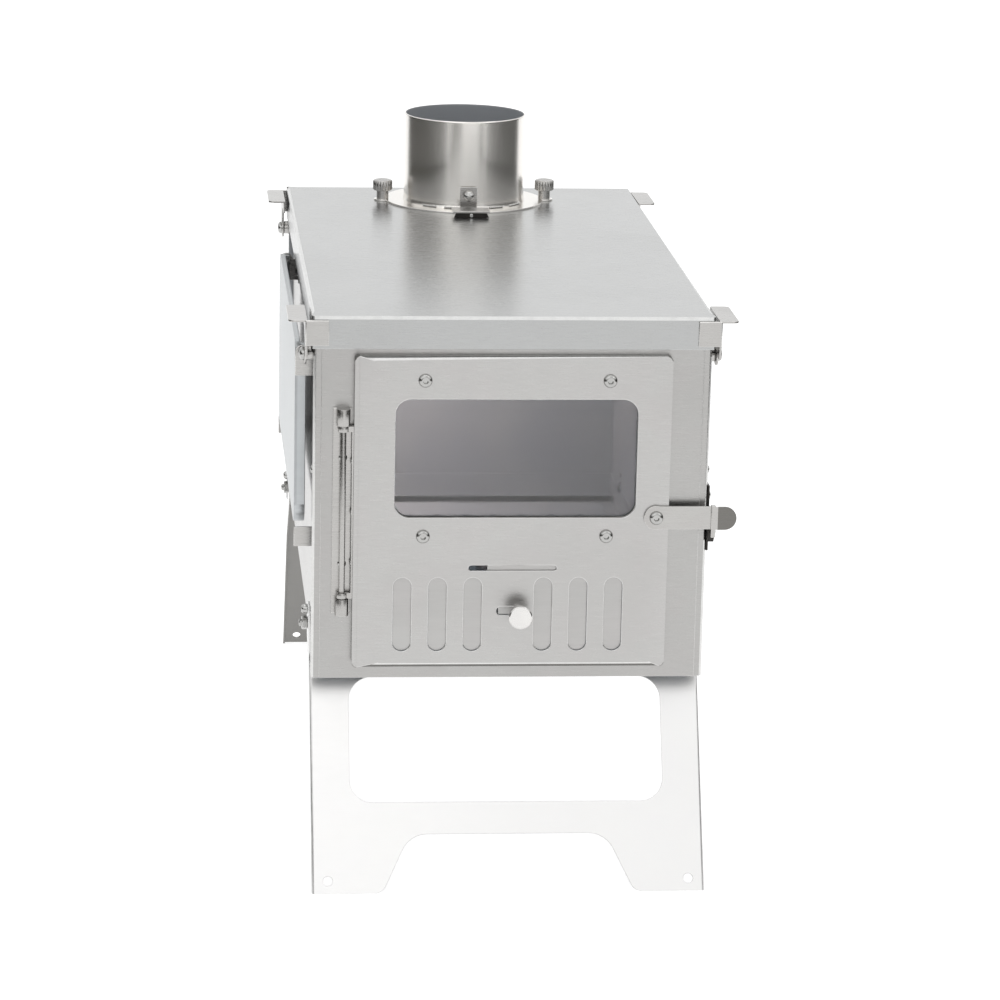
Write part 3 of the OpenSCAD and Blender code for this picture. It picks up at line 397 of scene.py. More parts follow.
SATIN = {
    "clean": (0.468, 0.464, 0.455),
    "stained": (0.425, 0.419, 0.41),
    "tinted": (0.466, 0.449, 0.444),
    "edge_wear_and_shade": (0.8, 0.8, 0.79),
}
FINISH = {
    "satin_sheet": bare_steel("satin_sheet", **SATIN, specks=0.2),
    "lid_sheet": bare_steel(
        "lid_sheet",
        (0.42, 0.425, 0.423),
        (0.39, 0.393, 0.39),
        (0.415, 0.415, 0.416),
        (0.8, 0.8, 0.79),
        rough=0.24,
        stain=0.3,
    ),
    "inner_sheet": bare_steel("inner_sheet", **SATIN, rough=0.4),
    # A much lighter copy of the sheet steel: painted light, for legs that face up into the bright
    # studio.
    "leg_sheet": bare_steel(
        "leg_sheet",
        (0.84, 0.836, 0.828),
        (0.8, 0.795, 0.79),
        (0.82, 0.816, 0.82),
        # dark edge tone: painted shade outlining the legs
        (0.4, 0.4, 0.4),
        rough=0.36,
        stain=0.25,
    ),
    "shelf_sheet": bare_steel(
        "shelf_sheet",
        (0.49, 0.513, 0.522),
        (0.465, 0.485, 0.495),
        (0.49, 0.5, 0.515),
        # dark edge tone: painted shade along the shelf's edges
        (0.34, 0.35, 0.36),
        rough=0.34,
        stain=0.25,
    ),
    "fittings": bare_steel(
        "fittings",
        (0.45, 0.443, 0.43),
        (0.39, 0.38, 0.37),
        (0.44, 0.425, 0.415),
        (0.8, 0.79, 0.77),
        rough=0.25,
        relief=0.002,
        stain=0.4,
        stain_size=14.0,
    ),
    "flue_tube": bare_steel(
        "flue_tube",
        (0.84, 0.82, 0.785),
        (0.75, 0.73, 0.7),
        (0.8, 0.77, 0.74),
        (0.85, 0.84, 0.82),
        rough=0.24,
        rough_spread=0.012,
        fineness=(1500.0, 1500.0, 30.0),
        relief=0.007,
        waviness=0.2,
    ),
    "bright_steel": bare_steel(
        "bright_steel",
        (0.44, 0.44, 0.43),
        (0.38, 0.38, 0.37),
        (0.42, 0.41, 0.4),
        (0.72, 0.72, 0.72),
        rough=0.15,
        stain_size=120.0,
    ),
    "knob_steel": bare_steel(
        "knob_steel",
        (0.68, 0.67, 0.655),
        (0.63, 0.62, 0.61),
        (0.66, 0.645, 0.635),
        (0.6, 0.6, 0.6),
        rough=0.2,
        stain_size=60.0,
    ),
    # Near black: painted shade, for the latch keeper that sits in shade and for the clip's painted
    # shadow plate.
    "shade_black_steel": bare_steel(
        "shade_black_steel",
        (0.035, 0.033, 0.031),
        (0.02, 0.02, 0.02),
        (0.045, 0.04, 0.035),
        (0.12, 0.11, 0.1),
        rough=0.5,
        stain_size=60.0,
    ),
    "ceramic_glass": clear_glass("ceramic_glass"),
    "gasket_fibre": woven_fibre("gasket_fibre"),
}


# ---- Pieces ----


SAME_SPOT = 0.5e-6
FLAT_WITHIN = 0.6  # degrees
CUT_EDGE = 1.7 * MM  # a face that is narrower is the cut edge of a sheet
FOLD_ABOVE, BURR_ABOVE = 35.0, 50.0  # degrees at an edge that is rounded
ROUND_BELOW, TURNED_BELOW = 38.0, 40.0  # degrees between two facets of a curve
FLAT_BELOW = 0.8  # degrees
LIKE_FACET = 0.2  # of a facet's area, the least that one beside it has
LOOKS_IN = 0.03  # metres
FIREBOX_FINISHES = ("satin_sheet", "lid_sheet", "inner_sheet")
ALL_HEATED = ("bottom_pan", "fire_grate", "glass_clamp")
HEART = Vector((0.0, 0.0, 0.2))  # middle of the firebox
CLEAN_ARM = 34.0 * MM  # from the arm's bolt to its darkened end
DOOR_SEAM, DOOR_FOOT = 2.6 * MM, 2.0 * MM
# painted shade: in the door's seam, a little over the front frame, on the legs' inner sides
SEAM_PAINTED_SHADE, FRAME_PAINTED_SHADE, LEG_SHADE = 0.9, 0.18, 0.85


def dress(piece, node, finish, stands_in=True):
    """Gives a piece its finish and its body, and hides the node that it stands in for."""
    piece.data.materials.clear()
    piece.data.materials.append(FINISH[finish])
    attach(piece, BODY_OF[node])
    if stands_in:
        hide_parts(node)
    return piece


def merged_copy(node):
    """The node's mesh as one closed surface with its flat faces whole."""
    shape = bmesh.new()
    shape.from_mesh(NODES[node].data)
    bmesh.ops.remove_doubles(shape, verts=shape.verts, dist=SAME_SPOT)
    bmesh.ops.dissolve_limit(
        shape, angle_limit=math.radians(FLAT_WITHIN), verts=shape.verts, edges=shape.edges
    )
    return shape


def face_width(face):
    """About how wide a long face is: the thickness, for the cut edge of a sheet."""
    return 2 * face.calc_area() / face.calc_perimeter()


def corner_edges(shape, least):
    """Outer corners of a sheet, as its folds and its cut edges."""
    folds, cuts = [], []
    for edge in shape.edges:
        if len(edge.link_faces) != 2 or not edge.is_convex:
            continue
        if math.degrees(edge.calc_face_angle(0)) < least:
            continue
        narrow = min(face_width(face) for face in edge.link_faces) < CUT_EDGE
        (cuts if narrow else folds).append(edge)
    return folds, cuts


def span_of(shape):
    """The lowest and the highest place on each axis."""
    spots = [vert.co for vert in shape.verts]
    return [(min(spot[i] for spot in spots), max(spot[i] for spot in spots)) for i in range(3)]


def still_sound(before, after):
    """Rounding may only take a little off: the outer size and nearly all the volume stay."""
    slack = 0.02 * MM
    for (low, high), (new_low, new_high) in zip(span_of(before), span_of(after)):
        if new_low < low - slack or new_high > high + slack:
            return False
    return 0.9 < after.calc_volume() / before.calc_volume() < 1.01


def round_off(shape, edges, width, segments):
    """Rounds edges and marks the new narrow faces for the edge tone (wear on most finishes, painted
    shade on the legs and shelf); gives the new shape.

    A width that would spoil the shape is tried again smaller, and held back at last.
    """
    if not edges:
        return shape
    shape.edges.index_update()
    chosen = [edge.index for edge in edges]
    for share, clamped in ((1.0, False), (0.6, False), (0.3, False), (1.0, True)):
        trial = shape.copy()
        trial.edges.ensure_lookup_table()
        made = bmesh.ops.bevel(
            trial,
            geom=[trial.edges[i] for i in chosen],
            offset=width * share,
            segments=segments,
            profile=0.5,
            affect="EDGES",
            clamp_overlap=clamped,
        )
        if clamped or still_sound(shape, trial):
            break
        trial.free()
    edge_wear_and_shade = trial.faces.layers.float["edge_wear_and_shade"]
    for face in made["faces"]:
        face[edge_wear_and_shade] = 1.0
    shape.free()
    return trial


def shade_by_form(shape, sharp):
    """Wide flat faces shade flat; facets of a curve, with like facets beside them, shade round."""
    area = {face: face.calc_area() for face in shape.faces}
    bend = {
        edge: math.degrees(edge.calc_face_angle(0))
        for edge in shape.edges
        if len(edge.link_faces) == 2
    }
    for face in shape.faces:
        beside = 0.0
        for edge in face.edges:
            if edge in bend and FLAT_BELOW < bend[edge] < sharp:
                other = edge.link_faces[0] if edge.link_faces[1] is face else edge.link_faces[1]
                beside = max(beside, area[other])
        face.smooth = beside > LIKE_FACET * area[face]
    for edge in shape.edges:
        edge.smooth = edge in bend and bend[edge] < sharp


def new_piece(shape, name, sharp=ROUND_BELOW):
    """Turns a bmesh into an object whose flat faces stay flat and whose folds shade round."""
    shade_by_form(shape, sharp)
    mesh = bpy.data.meshes.new(name)
    shape.to_mesh(mesh)
    shape.free()
    return new_object(name, mesh)


def mark_inner(shape, whole):
    """Marks the faces that look into the firebox, which heat has dulled."""
    inner = shape.faces.layers.float.new("inner")
    for face in shape.faces:
        inward = (HEART - face.calc_center_median()) * Vector(abs(part) for part in face.normal)
        looks_in = inward.dot(face.normal) > LOOKS_IN
        face[inner] = 1.0 if whole or looks_in else 0.0


def mark_arm_end(shape):
    """Cuts the latch arm where its darkened end begins, and marks that end."""
    shade_and_dark_end = shape.faces.layers.float["shade_and_dark_end"]
    bolt_low, bolt_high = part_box("arm_bolt")
    seam = Vector(((bolt_low[0] + bolt_high[0]) / 2 + CLEAN_ARM, 0, 0))
    everything = shape.verts[:] + shape.edges[:] + shape.faces[:]
    bmesh.ops.bisect_plane(shape, geom=everything, plane_co=seam, plane_no=(1, 0, 0))
    for face in shape.faces:
        face[shade_and_dark_end] = 1.0 if face.calc_center_median().x > seam.x else 0.0


def paint_shade(shape, node):
    """Paints shade into the door's seam, a little over the frame, and on the inner side of the
    legs.
    """
    edge_wear_and_shade = shape.faces.layers.float["edge_wear_and_shade"]
    shade_and_dark_end = shape.faces.layers.float["shade_and_dark_end"]
    (left, _, floor), (right, _, _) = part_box(node)
    for face in shape.faces:
        middle, facing = face.calc_center_median(), face.normal
        # painted shade in the door's side seams and under its foot
        if node == "door_panel":
            at_side = min(middle.x - left, right - middle.x) < DOOR_SEAM and abs(facing.x) > 0.1
            at_foot = middle.z - floor < DOOR_FOOT and facing.z < -0.35
            if at_side or at_foot:
                face[shade_and_dark_end], face[edge_wear_and_shade] = SEAM_PAINTED_SHADE, 0.0
        # painted shade, a little, over the frame's faces
        elif node == "front_frame" and not face[edge_wear_and_shade]:
            face[shade_and_dark_end] = FRAME_PAINTED_SHADE
        # painted shade on the legs' inner sides, which face the shadowed floor
        elif node in ("front_legs", "rear_legs") and middle.y * facing.y < -0.02:
            face[shade_and_dark_end] = LEG_SHADE


def sheet_piece(node, finish, fold, burr):
    """A sheet part with rounded folds and slightly dulled cut edges."""
    shape = merged_copy(node)
    shape.faces.layers.float.new("edge_wear_and_shade")
    shape.faces.layers.float.new("shade_and_dark_end")
    if finish in FIREBOX_FINISHES:
        mark_inner(shape, node in ALL_HEATED)
    if node == "latch_arm":
        mark_arm_end(shape)
    folds = corner_edges(shape, FOLD_ABOVE)[0]
    shape = round_off(shape, folds, fold * MM, 5 if fold > 1 else 3)
    folds, cuts = corner_edges(shape, BURR_ABOVE)
    shape = round_off(shape, cuts + folds, burr * MM, 2)
    paint_shade(shape, node)
    return dress(new_piece(shape, node + "_sheet"), node, finish)


SHEETS = {
    "front_frame": "satin_sheet",
    "rear_panel": "satin_sheet",
    "left_wall": "satin_sheet",
    "right_wall": "satin_sheet",
    "door_panel": "satin_sheet",
    "lid_panel": "lid_sheet",
    "bottom_pan": "inner_sheet",
    "fire_grate": "inner_sheet",
    "glass_clamp": "inner_sheet",
    "damper_plate": "inner_sheet",
    "damper_guides": "inner_sheet",
    "front_legs": "leg_sheet",
    "rear_legs": "leg_sheet",
    "side_shelf": "shelf_sheet",
    "hinge_bracket": "fittings",
    "hinge_leaf": "fittings",
    "latch_arm": "fittings",
    # black keeper: painted shade
    "latch_keeper": "shade_black_steel",
    "shelf_brackets": "fittings",
    "shelf_rests": "fittings",
    "front_left_latch": "fittings",
    "front_right_latch": "fittings",
    "rear_left_latch": "fittings",
    "rear_right_latch": "fittings",
    "collar_clip": "fittings",
    "flue_flange": "flue_tube",
}
# How far folds and cut edges are rounded, in millimetres.
SHEET_FOLD, FITTING_FOLD, SMALL_FOLD = 1.4, 0.5, 0.25
SHEET_BURR, SMALL_BURR = 0.18, 0.15
FOLDS = {"door_panel": 2.6, "lid_panel": 2.0, "flue_flange": 0.5}
BURRS = {"door_panel": 0.38, "front_legs": 0.3, "rear_legs": 0.3, "side_shelf": 0.35}
for sheet_name, sheet_finish in SHEETS.items():
    usual = FITTING_FOLD if sheet_finish in ("fittings", "shade_black_steel") else SHEET_FOLD
    sheet_piece(
        sheet_name,
        sheet_finish,
        fold=FOLDS.get(sheet_name, usual),
        burr=BURRS.get(sheet_name, SHEET_BURR),
    )

SMALL_PARTS = {
    "hinge_rod": "fittings",
    "latch_bushes": "fittings",
    "leg_washers": "bright_steel",
    "damper_knob": "knob_steel",
    "clip_bolt": "bright_steel",
    "shelf_pins": "bright_steel",
    "window_glass": "ceramic_glass",
    "glass_gasket": "gasket_fibre",
}
for part_name, part_finish in SMALL_PARTS.items():
    sheet_piece(part_name, part_finish, SMALL_FOLD, SMALL_BURR)


# ---- Turned parts: bolts, nuts, rivets and thumb screws ----


def sum_of(tree, given, terms):
    """A size as a sum of named sizes, each times a factor."""
    total = None
    for label, factor in terms.items():
        part = math_node(tree, "MULTIPLY", given[label], factor)
        total = part if total is None else math_node(tree, "ADD", total, part)
    return 0.0 if total is None else total


def by_ring(tree, ring, choices):
    """One value for each ring of a turned part."""
    pick = put(tree, "GeometryNodeIndexSwitch", data_type="FLOAT")
    while len(pick.index_switch_items) < len(choices):
        pick.index_switch_items.new()
    for place, choice in enumerate([ring] + choices):
        feed_in(tree, pick.inputs[place], choice)
    return pick.outputs[0]


def turned_tree(name, sizes, rings, around=48, flutes=24):
    """A part turned about its axis, set on every point that it is given.

    Each ring has a radius and a height from the outer end. It may also have the corner
    radius of a hexagon that cuts it, and after that the depth of its flutes.
    """
    tree, given, end = new_group(
        name,
        "GeometryNodeTree",
        [("Geometry", "NodeSocketGeometry", None)]
        + [(label, "NodeSocketFloat", value) for label, value in sizes.items()]
        + [("Finish", "NodeSocketMaterial", None)],
        [("Geometry", "NodeSocketGeometry")],
    )
    blank = put(
        tree,
        "GeometryNodeMeshGrid",
        {"Size X": 1.0, "Size Y": 1.0, "Vertices X": len(rings), "Vertices Y": around + 1},
    )
    spots = put(tree, "GeometryNodeInputPosition").outputs[0]
    here = put(tree, "ShaderNodeSeparateXYZ", {0: spots})
    along = math_node(tree, "ADD", here.outputs[0], 0.5)
    ring = math_node(tree, "ROUND", math_node(tree, "MULTIPLY", along, len(rings) - 1))
    turn = math_node(tree, "MULTIPLY", math_node(tree, "ADD", here.outputs[1], 0.5), math.tau)
    radii, heights, corners, depths = zip(*((*wanted, None, None)[:4] for wanted in rings))
    radius = by_ring(tree, ring, [sum_of(tree, given, r) for r in radii])
    height = by_ring(tree, ring, [sum_of(tree, given, h) for h in heights])
    corner = by_ring(tree, ring, [sum_of(tree, given, c) if c else 1.0 for c in corners])
    flute = by_ring(tree, ring, [sum_of(tree, given, d) if d else 0.0 for d in depths])
    sixth = math_node(tree, "FLOORED_MODULO", turn, math.tau / 6)
    slant = math_node(tree, "COSINE", math_node(tree, "SUBTRACT", sixth, math.tau / 12))
    flat = math_node(tree, "MULTIPLY", corner, math.cos(math.tau / 12))
    radius = math_node(tree, "MINIMUM", radius, math_node(tree, "DIVIDE", flat, slant))
    wave = math_node(tree, "COSINE", math_node(tree, "MULTIPLY", turn, float(flutes)))
    dip = math_node(tree, "MULTIPLY", flute, math_node(tree, "SUBTRACT", 1.0, wave))
    radius = math_node(tree, "SUBTRACT", radius, dip)
    spot = put(
        tree,
        "ShaderNodeCombineXYZ",
        {
            0: math_node(tree, "MULTIPLY", radius, math_node(tree, "COSINE", turn)),
            1: math_node(tree, "MULTIPLY", radius, math_node(tree, "SINE", turn)),
            2: height,
        },
    )
    wrapped = put(
        tree,
        "GeometryNodeSetPosition",
        {"Geometry": blank.outputs["Mesh"], "Position": spot.outputs[0]},
    )
    closed = put(
        tree, "GeometryNodeMergeByDistance", {"Geometry": wrapped.outputs[0], "Distance": 2e-6}
    )
    facing = put(
        tree, "GeometryNodeInputNamedAttribute", {"Name": "facing"}, data_type="FLOAT_VECTOR"
    )
    turned = put(
        tree, "FunctionNodeAlignRotationToVector", {"Vector": facing.outputs[0]}, axis="Z"
    )
    placed = put(
        tree,
        "GeometryNodeInstanceOnPoints",
        {"Points": given["Geometry"], "Instance": closed.outputs[0], "Rotation": turned.outputs[0]},
    )
    return end_tree(tree, given, end, placed.outputs[0])


def end_tree(tree, given, end, instances):
    """Every tree ends in plain geometry with its finish."""
    real = put(tree, "GeometryNodeRealizeInstances", {0: instances})
    finished = put(
        tree, "GeometryNodeSetMaterial", {"Geometry": real.outputs[0], "Material": given["Finish"]}
    )
    tree.links.new(finished.outputs[0], end.inputs["Geometry"])
    return tree


def grown(name, tree, places, facings, finish, sizes):
    """Runs a tree on a set of points and gives the plain mesh that it makes."""
    points = bpy.data.meshes.new(name + "_points")
    points.from_pydata(places, [], [])
    arrow = points.attributes.new("facing", "FLOAT_VECTOR", "POINT")
    arrow.data.foreach_set("vector", [part for facing in facings for part in facing])
    holder = new_object(name + "_points", points)
    maker = holder.modifiers.new("maker", "NODES")
    maker.node_group = tree
    wanted = dict(sizes, Finish=FINISH[finish])
    for item in tree.interface.items_tree:
        if item.in_out == "INPUT" and item.name in wanted:
            maker[item.identifier] = wanted[item.name]
    solid = holder.evaluated_get(bpy.context.evaluated_depsgraph_get())
    mesh = bpy.data.meshes.new_from_object(solid)
    bpy.data.objects.remove(holder)
    shape = bmesh.new()
    shape.from_mesh(mesh)
    bpy.data.meshes.remove(mesh)
    return new_piece(shape, name, TURNED_BELOW)


def solids_of(node):
    """The box of each separate solid of a node, sorted by place: its middle and its size."""
    shape = merged_copy(node)
    left, found = set(shape.verts), []
    while left:
        reached = [left.pop()]
        corners = []
        while reached:
            vert = reached.pop()
            corners.append(vert.co.copy())
            for edge in vert.link_edges:
                other = edge.other_vert(vert)
                if other in left:
                    left.discard(other)
                    reached.append(other)
        low = Vector(min(c[i] for c in corners) for i in range(3))
        high = Vector(max(c[i] for c in corners) for i in range(3))
        found.append(((low + high) / 2, high - low))
    shape.free()
    return sorted(found, key=lambda solid: tuple(solid[0]))


def outward(middle):
    """Away from the stove's middle, to its left or its right."""
    return Vector((1 if middle.x > 0 else -1, 0, 0))


def turned_parts(node, tree, facing, finish, **sizes):
    """Sets a turned part in the place of each solid of a node; given sizes are millimetres."""
    places, facings = [], []
    for middle, size in solids_of(node):
        arrow = facing(middle) if callable(facing) else Vector(facing)
        axis = max(range(3), key=lambda i: abs(arrow[i]))
        places.append(middle + arrow * size[axis] / 2)
        facings.append(arrow)
        across = sorted(size[i] for i in range(3) if i != axis)
        known = {"Length": size[axis], "Head radius": across[1] / 2, "Flats": across[0]}
    known.update({label.replace("_", " "): value * MM for label, value in sizes.items()})
    piece = grown(node + "_turned", tree, places, facings, finish, known)
    return dress(piece, node, finish)


HR, HH, SR, SL = "Head radius", "Head height", "Shank radius", "Length"
BUTTON_BOLT = turned_tree(
    "button_bolt",
    {HR: 0.0038, HH: 0.0022, SR: 0.002, SL: 0.02, "Socket": 0.00145},
    [
        ({}, {HH: -0.6}),
        ({HR: 1}, {HH: -0.6}, {"Socket": 1}),
        ({HR: 1}, {HH: -0.04}, {"Socket": 1}),
        ({HR: 1}, {}, {"Socket": 1.12}),
        ({HR: 0.56}, {}),
        ({HR: 0.72}, {HH: -0.08}),
        ({HR: 0.86}, {HH: -0.25}),
        ({HR: 0.95}, {HH: -0.5}),
        ({HR: 1}, {HH: -0.78}),
        ({HR: 1}, {HH: -1}),
        ({SR: 1}, {HH: -1}),
        ({SR: 1}, {SL: -1, SR: 0.2}),
        ({SR: 0.8}, {SL: -1}),
        ({}, {SL: -1}),
    ],
)
HEX_NUT = turned_tree(
    "hex_nut",
    {"Bore": 0.00205, "Flats": 0.007, SL: 0.0032},
    [
        ({"Bore": 1}, {}),
        ({"Flats": 0.475}, {}),
        ({"Flats": 0.53}, {"Flats": -0.035}, {"Flats": 0.577}),
        ({"Flats": 0.58}, {"Flats": -0.07}, {"Flats": 0.577}),
        ({"Flats": 0.58}, {SL: -1, "Flats": 0.07}, {"Flats": 0.577}),
        ({"Flats": 0.53}, {SL: -1, "Flats": 0.035}, {"Flats": 0.577}),
        ({"Flats": 0.475}, {SL: -1}),
        ({"Bore": 1}, {SL: -1}),
        ({"Bore": 1}, {}),
    ],
)
DOME_RIVET = turned_tree(
    "dome_rivet",
    {HR: 0.0024, HH: 0.0012, SR: 0.0012, SL: 0.004},
    [
        ({}, {}),
        ({HR: 0.3}, {HH: -0.03}),
        ({HR: 0.55}, {HH: -0.12}),
        ({HR: 0.75}, {HH: -0.28}),
        ({HR: 0.9}, {HH: -0.52}),
        ({HR: 0.98}, {HH: -0.8}),
        ({HR: 1}, {HH: -1}),
        ({SR: 1}, {HH: -1}),
        ({SR: 1}, {SL: -1}),
        ({}, {SL: -1}),
    ],
    around=32,
)
NECK = {"Grip height": -1, "Neck height": -1}
THUMB_SCREW = turned_tree(
    "thumb_screw",
    {
        HR: 0.0061,
        "Grip height": 0.0066,
        "Neck radius": 0.0038,
        "Neck height": 0.0054,
        SR: 0.002,
        SL: 0.02,
        "Flute": 0.00018,
    },
    [
        ({}, {"Flute": -2}),
        ({HR: 0.6}, {"Flute": -2}),
        ({HR: 0.72}, {}),
        ({HR: 0.88}, {}),
        ({HR: 1}, {"Grip height": -0.1}, None, {"Flute": 1}),
        ({HR: 1}, {"Grip height": -0.9}, None, {"Flute": 1}),
        ({HR: 0.88}, {"Grip height": -1}),
        ({"Neck radius": 1}, {"Grip height": -1}),
        ({"Neck radius": 1}, NECK, None, None),
        ({SR: 1}, NECK, None, None),
        ({SR: 1}, {SL: -1, SR: 0.25}),
        ({SR: 0.75}, {SL: -1}),
        ({}, {SL: -1}),
    ],
    around=96,
)

BOLTS = {"window_bolts": (0, -1, 0), "arm_bolt": (0, -1, 0), "latch_bolts": outward}
for bolt, way in BOLTS.items():
    turned_parts(bolt, BUTTON_BOLT, way, "bright_steel")
turned_parts("leg_pivot_bolts", BUTTON_BOLT, lambda middle: -outward(middle), "bright_steel")
turned_parts(
    "leg_stop_bolts",
    BUTTON_BOLT,
    outward,
    "bright_steel",
    Head_height=3.4,
    Shank_radius=1.5,
    Socket=1.1,
)
NUTS = {
    "window_nuts": (0, 1, 0),
    "arm_nut": (0, 1, 0),
    "damper_nut": (0, 1, 0),
    "flange_nuts": (0, 0, -1),
    "leg_pivot_nuts": outward,
}
for nut, way in NUTS.items():
    turned_parts(nut, HEX_NUT, way, "bright_steel")
RIVETS = {
    "bracket_rivets": (0, -1, 0),
    "keeper_rivets": (1, 0, 0),
    "shelf_bracket_rivets": (-1, 0, 0),
    "shelf_rest_rivets": (-1, 0, 0),
    "wall_rivets": outward,
}
for rivet, way in RIVETS.items():
    turned_parts(rivet, DOME_RIVET, way, "bright_steel")
turned_parts(
    "leaf_rivets", DOME_RIVET, (-1, 0, 0), "bright_steel", Head_height=0.8, Shank_radius=0.9
)
for side in ("left_thumbscrew", "right_thumbscrew"):
    turned_parts(side, THUMB_SCREW, (0, 0, 1), "fittings")


# ---- Flue collar and its weld beads ----

PIPE_COLLAR = turned_tree(
    "pipe_collar",
    {"Radius": 0.038, "Wall": 0.001, SL: 0.0545},
    [
        ({"Radius": 1, "Wall": -1}, {"Wall": -0.4}),
        ({"Radius": 1, "Wall": -0.8}, {}),
        ({"Radius": 1, "Wall": -0.2}, {}),
        ({"Radius": 1}, {"Wall": -0.4}),
        ({"Radius": 1}, {"Wall": -1.2}),
        ({"Radius": 1}, {SL: -1, "Wall": 3}),
        ({"Radius": 1}, {SL: -1, "Wall": 2.2}),
        ({"Radius": 1, "Wall": 0.12}, {SL: -1, "Wall": 1.2}),
        ({"Radius": 1, "Wall": 0.5}, {SL: -1}),
        ({"Radius": 1, "Wall": -1}, {SL: -1}),
        ({"Radius": 1, "Wall": -1}, {SL: -1, "Wall": 0.8}),
        ({"Radius": 1, "Wall": -1}, {"Wall": -1.2}),
        ({"Radius": 1, "Wall": -1}, {"Wall": -0.4}),
    ],
    around=160,
)


def collar_axis():
    """The collar stands midway between the two thumb screws."""
    screws = [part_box("left_thumbscrew"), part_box("right_thumbscrew")]
    return tuple(sum(b[0][i] + b[1][i] for b in screws) / 4 for i in (0, 1))


def add_collar():
    """The collar, dulled by heat on its inside."""
    (_, _, seat), (_, _, rim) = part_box("flue_collar")
    place = (*collar_axis(), rim)
    sizes = {SL: rim - seat}
    piece = grown("pipe_collar", PIPE_COLLAR, [place], [(0, 0, 1)], "flue_tube", sizes)
    inner = piece.data.attributes.new("inner", "FLOAT", "FACE")
    axis = Vector((*collar_axis(), 0))
    for face in piece.data.polygons:
        looks_in = (face.center - axis).xy.dot(face.normal.xy) < -0.02
        inner.data[face.index].value = 1.0 if looks_in else 0.0
    dress(piece, "flue_collar", "flue_tube")


add_collar()


def weld_bead_tree():
    """A flat bead on every point, each a little different."""
    tree, given, end = new_group(
        "weld_beads",
        "GeometryNodeTree",
        [
            ("Geometry", "NodeSocketGeometry", None),
            ("Bead radius", "NodeSocketFloat", 0.0011),
            ("Unevenness", "NodeSocketFloat", 0.25),
            ("Seed", "NodeSocketInt", 7),
            ("Finish", "NodeSocketMaterial", None),
        ],
        [("Geometry", "NodeSocketGeometry")],
    )
    bead = put(
        tree,
        "GeometryNodeMeshUVSphere",
        {"Segments": 12, "Rings": 8, "Radius": given["Bead radius"]},
    )
    spread = put(tree, "FunctionNodeRandomValue", {"Seed": given["Seed"]}, data_type="FLOAT")
    least, most = [socket for socket in spread.inputs if socket.enabled][:2]
    feed_in(tree, least, math_node(tree, "SUBTRACT", 1.0, given["Unevenness"]))
    feed_in(tree, most, 1.0)
    size = [socket for socket in spread.outputs if socket.enabled][0]
    shape = put(
        tree,
        "ShaderNodeCombineXYZ",
        {0: size, 1: size, 2: math_node(tree, "MULTIPLY", size, 0.55)},
    )
    placed = put(
        tree,
        "GeometryNodeInstanceOnPoints",
        {"Points": given["Geometry"], "Instance": bead.outputs[0], "Scale": shape.outputs[0]},
    )
    return end_tree(tree, given, end, placed.outputs[0])


WELD_TACKS = (-128, -105, -62, -38, 45, 90, 135)  # degrees about the collar
BEADS_EACH_SIDE, BEAD_STEP = 3, 2.1  # of a tack's middle, and degrees between two beads
BEAD_CIRCLE, BEAD_LIFT = 38.5 * MM, 0.5 * MM

# The clip's painted shadow plate, in millimetres: its corners from the collar's axis and the lid's
# top.
CLIP_SHADOW = ((-11.0, 0.15), (11.0, 0.15), (9.5, 3.0), (-9.5, 3.0))
CLIP_SHADOW_PROUD, CLIP_SHADOW_THICK, CLIP_SHADOW_BURR = 0.1, 0.35, 0.1


def add_weld_beads():
    """Short rows of beads that hold the collar to its flange."""
    middle_x, middle_y = collar_axis()
    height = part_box("flue_collar")[0][2] + BEAD_LIFT
    beads = []
    for tack in WELD_TACKS:
        for step in range(-BEADS_EACH_SIDE, BEADS_EACH_SIDE + 1):
            turn = math.radians(tack + BEAD_STEP * step)
            along, across = BEAD_CIRCLE * math.cos(turn), BEAD_CIRCLE * math.sin(turn)
            beads.append((middle_x + along, middle_y + across, height))
    facings = [(0, 0, 1)] * len(beads)
    piece = grown("collar_weld_beads", weld_bead_tree(), beads, facings, "bright_steel", {})
    dress(piece, "flue_collar", "bright_steel", stands_in=False)


add_weld_beads()


def add_clip_shadow():
    """Painted shadow under the clip: a thin dark plate with slanted ends before its block."""
    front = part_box("collar_clip")[0][1] - CLIP_SHADOW_PROUD * MM
    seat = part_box("lid_panel")[1][2]
    middle_x = collar_axis()[0]
    shape = bmesh.new()
    near, far = [
        [shape.verts.new((middle_x + x * MM, y, seat + z * MM)) for x, z in CLIP_SHADOW]
        for y in (front, front + CLIP_SHADOW_THICK * MM)
    ]
    shape.faces.new(near)
    shape.faces.new(far)
    for i in range(len(CLIP_SHADOW)):
        shape.faces.new((near[i - 1], near[i], far[i], far[i - 1]))
    bmesh.ops.recalc_face_normals(shape, faces=shape.faces)
    shape.faces.layers.float.new("edge_wear_and_shade")
    shape = round_off(shape, list(shape.edges), CLIP_SHADOW_BURR * MM, 2)
    dress(new_piece(shape, "clip_shadow_plate"), "collar_clip", "shade_black_steel", stands_in=False)


add_clip_shadow()


# ---- Studio ----


FLOOR_REACH = 12.0
FLOOR_LIFT = 0.84  # raises the floor to white for the camera and in polished metal
AIR_LEVEL = 0.55  # how bright the air is to everything but the camera and polished metal
PHOTO_ANGLES = (5.259, 14.2942, 1.2702)  # yaw, pitch and roll in degrees
PHOTO_PLACE = (-0.1957, -2.2659, 0.7411)
PHOTO_LENS = 139.751  # millimetres on a 36 mm sensor

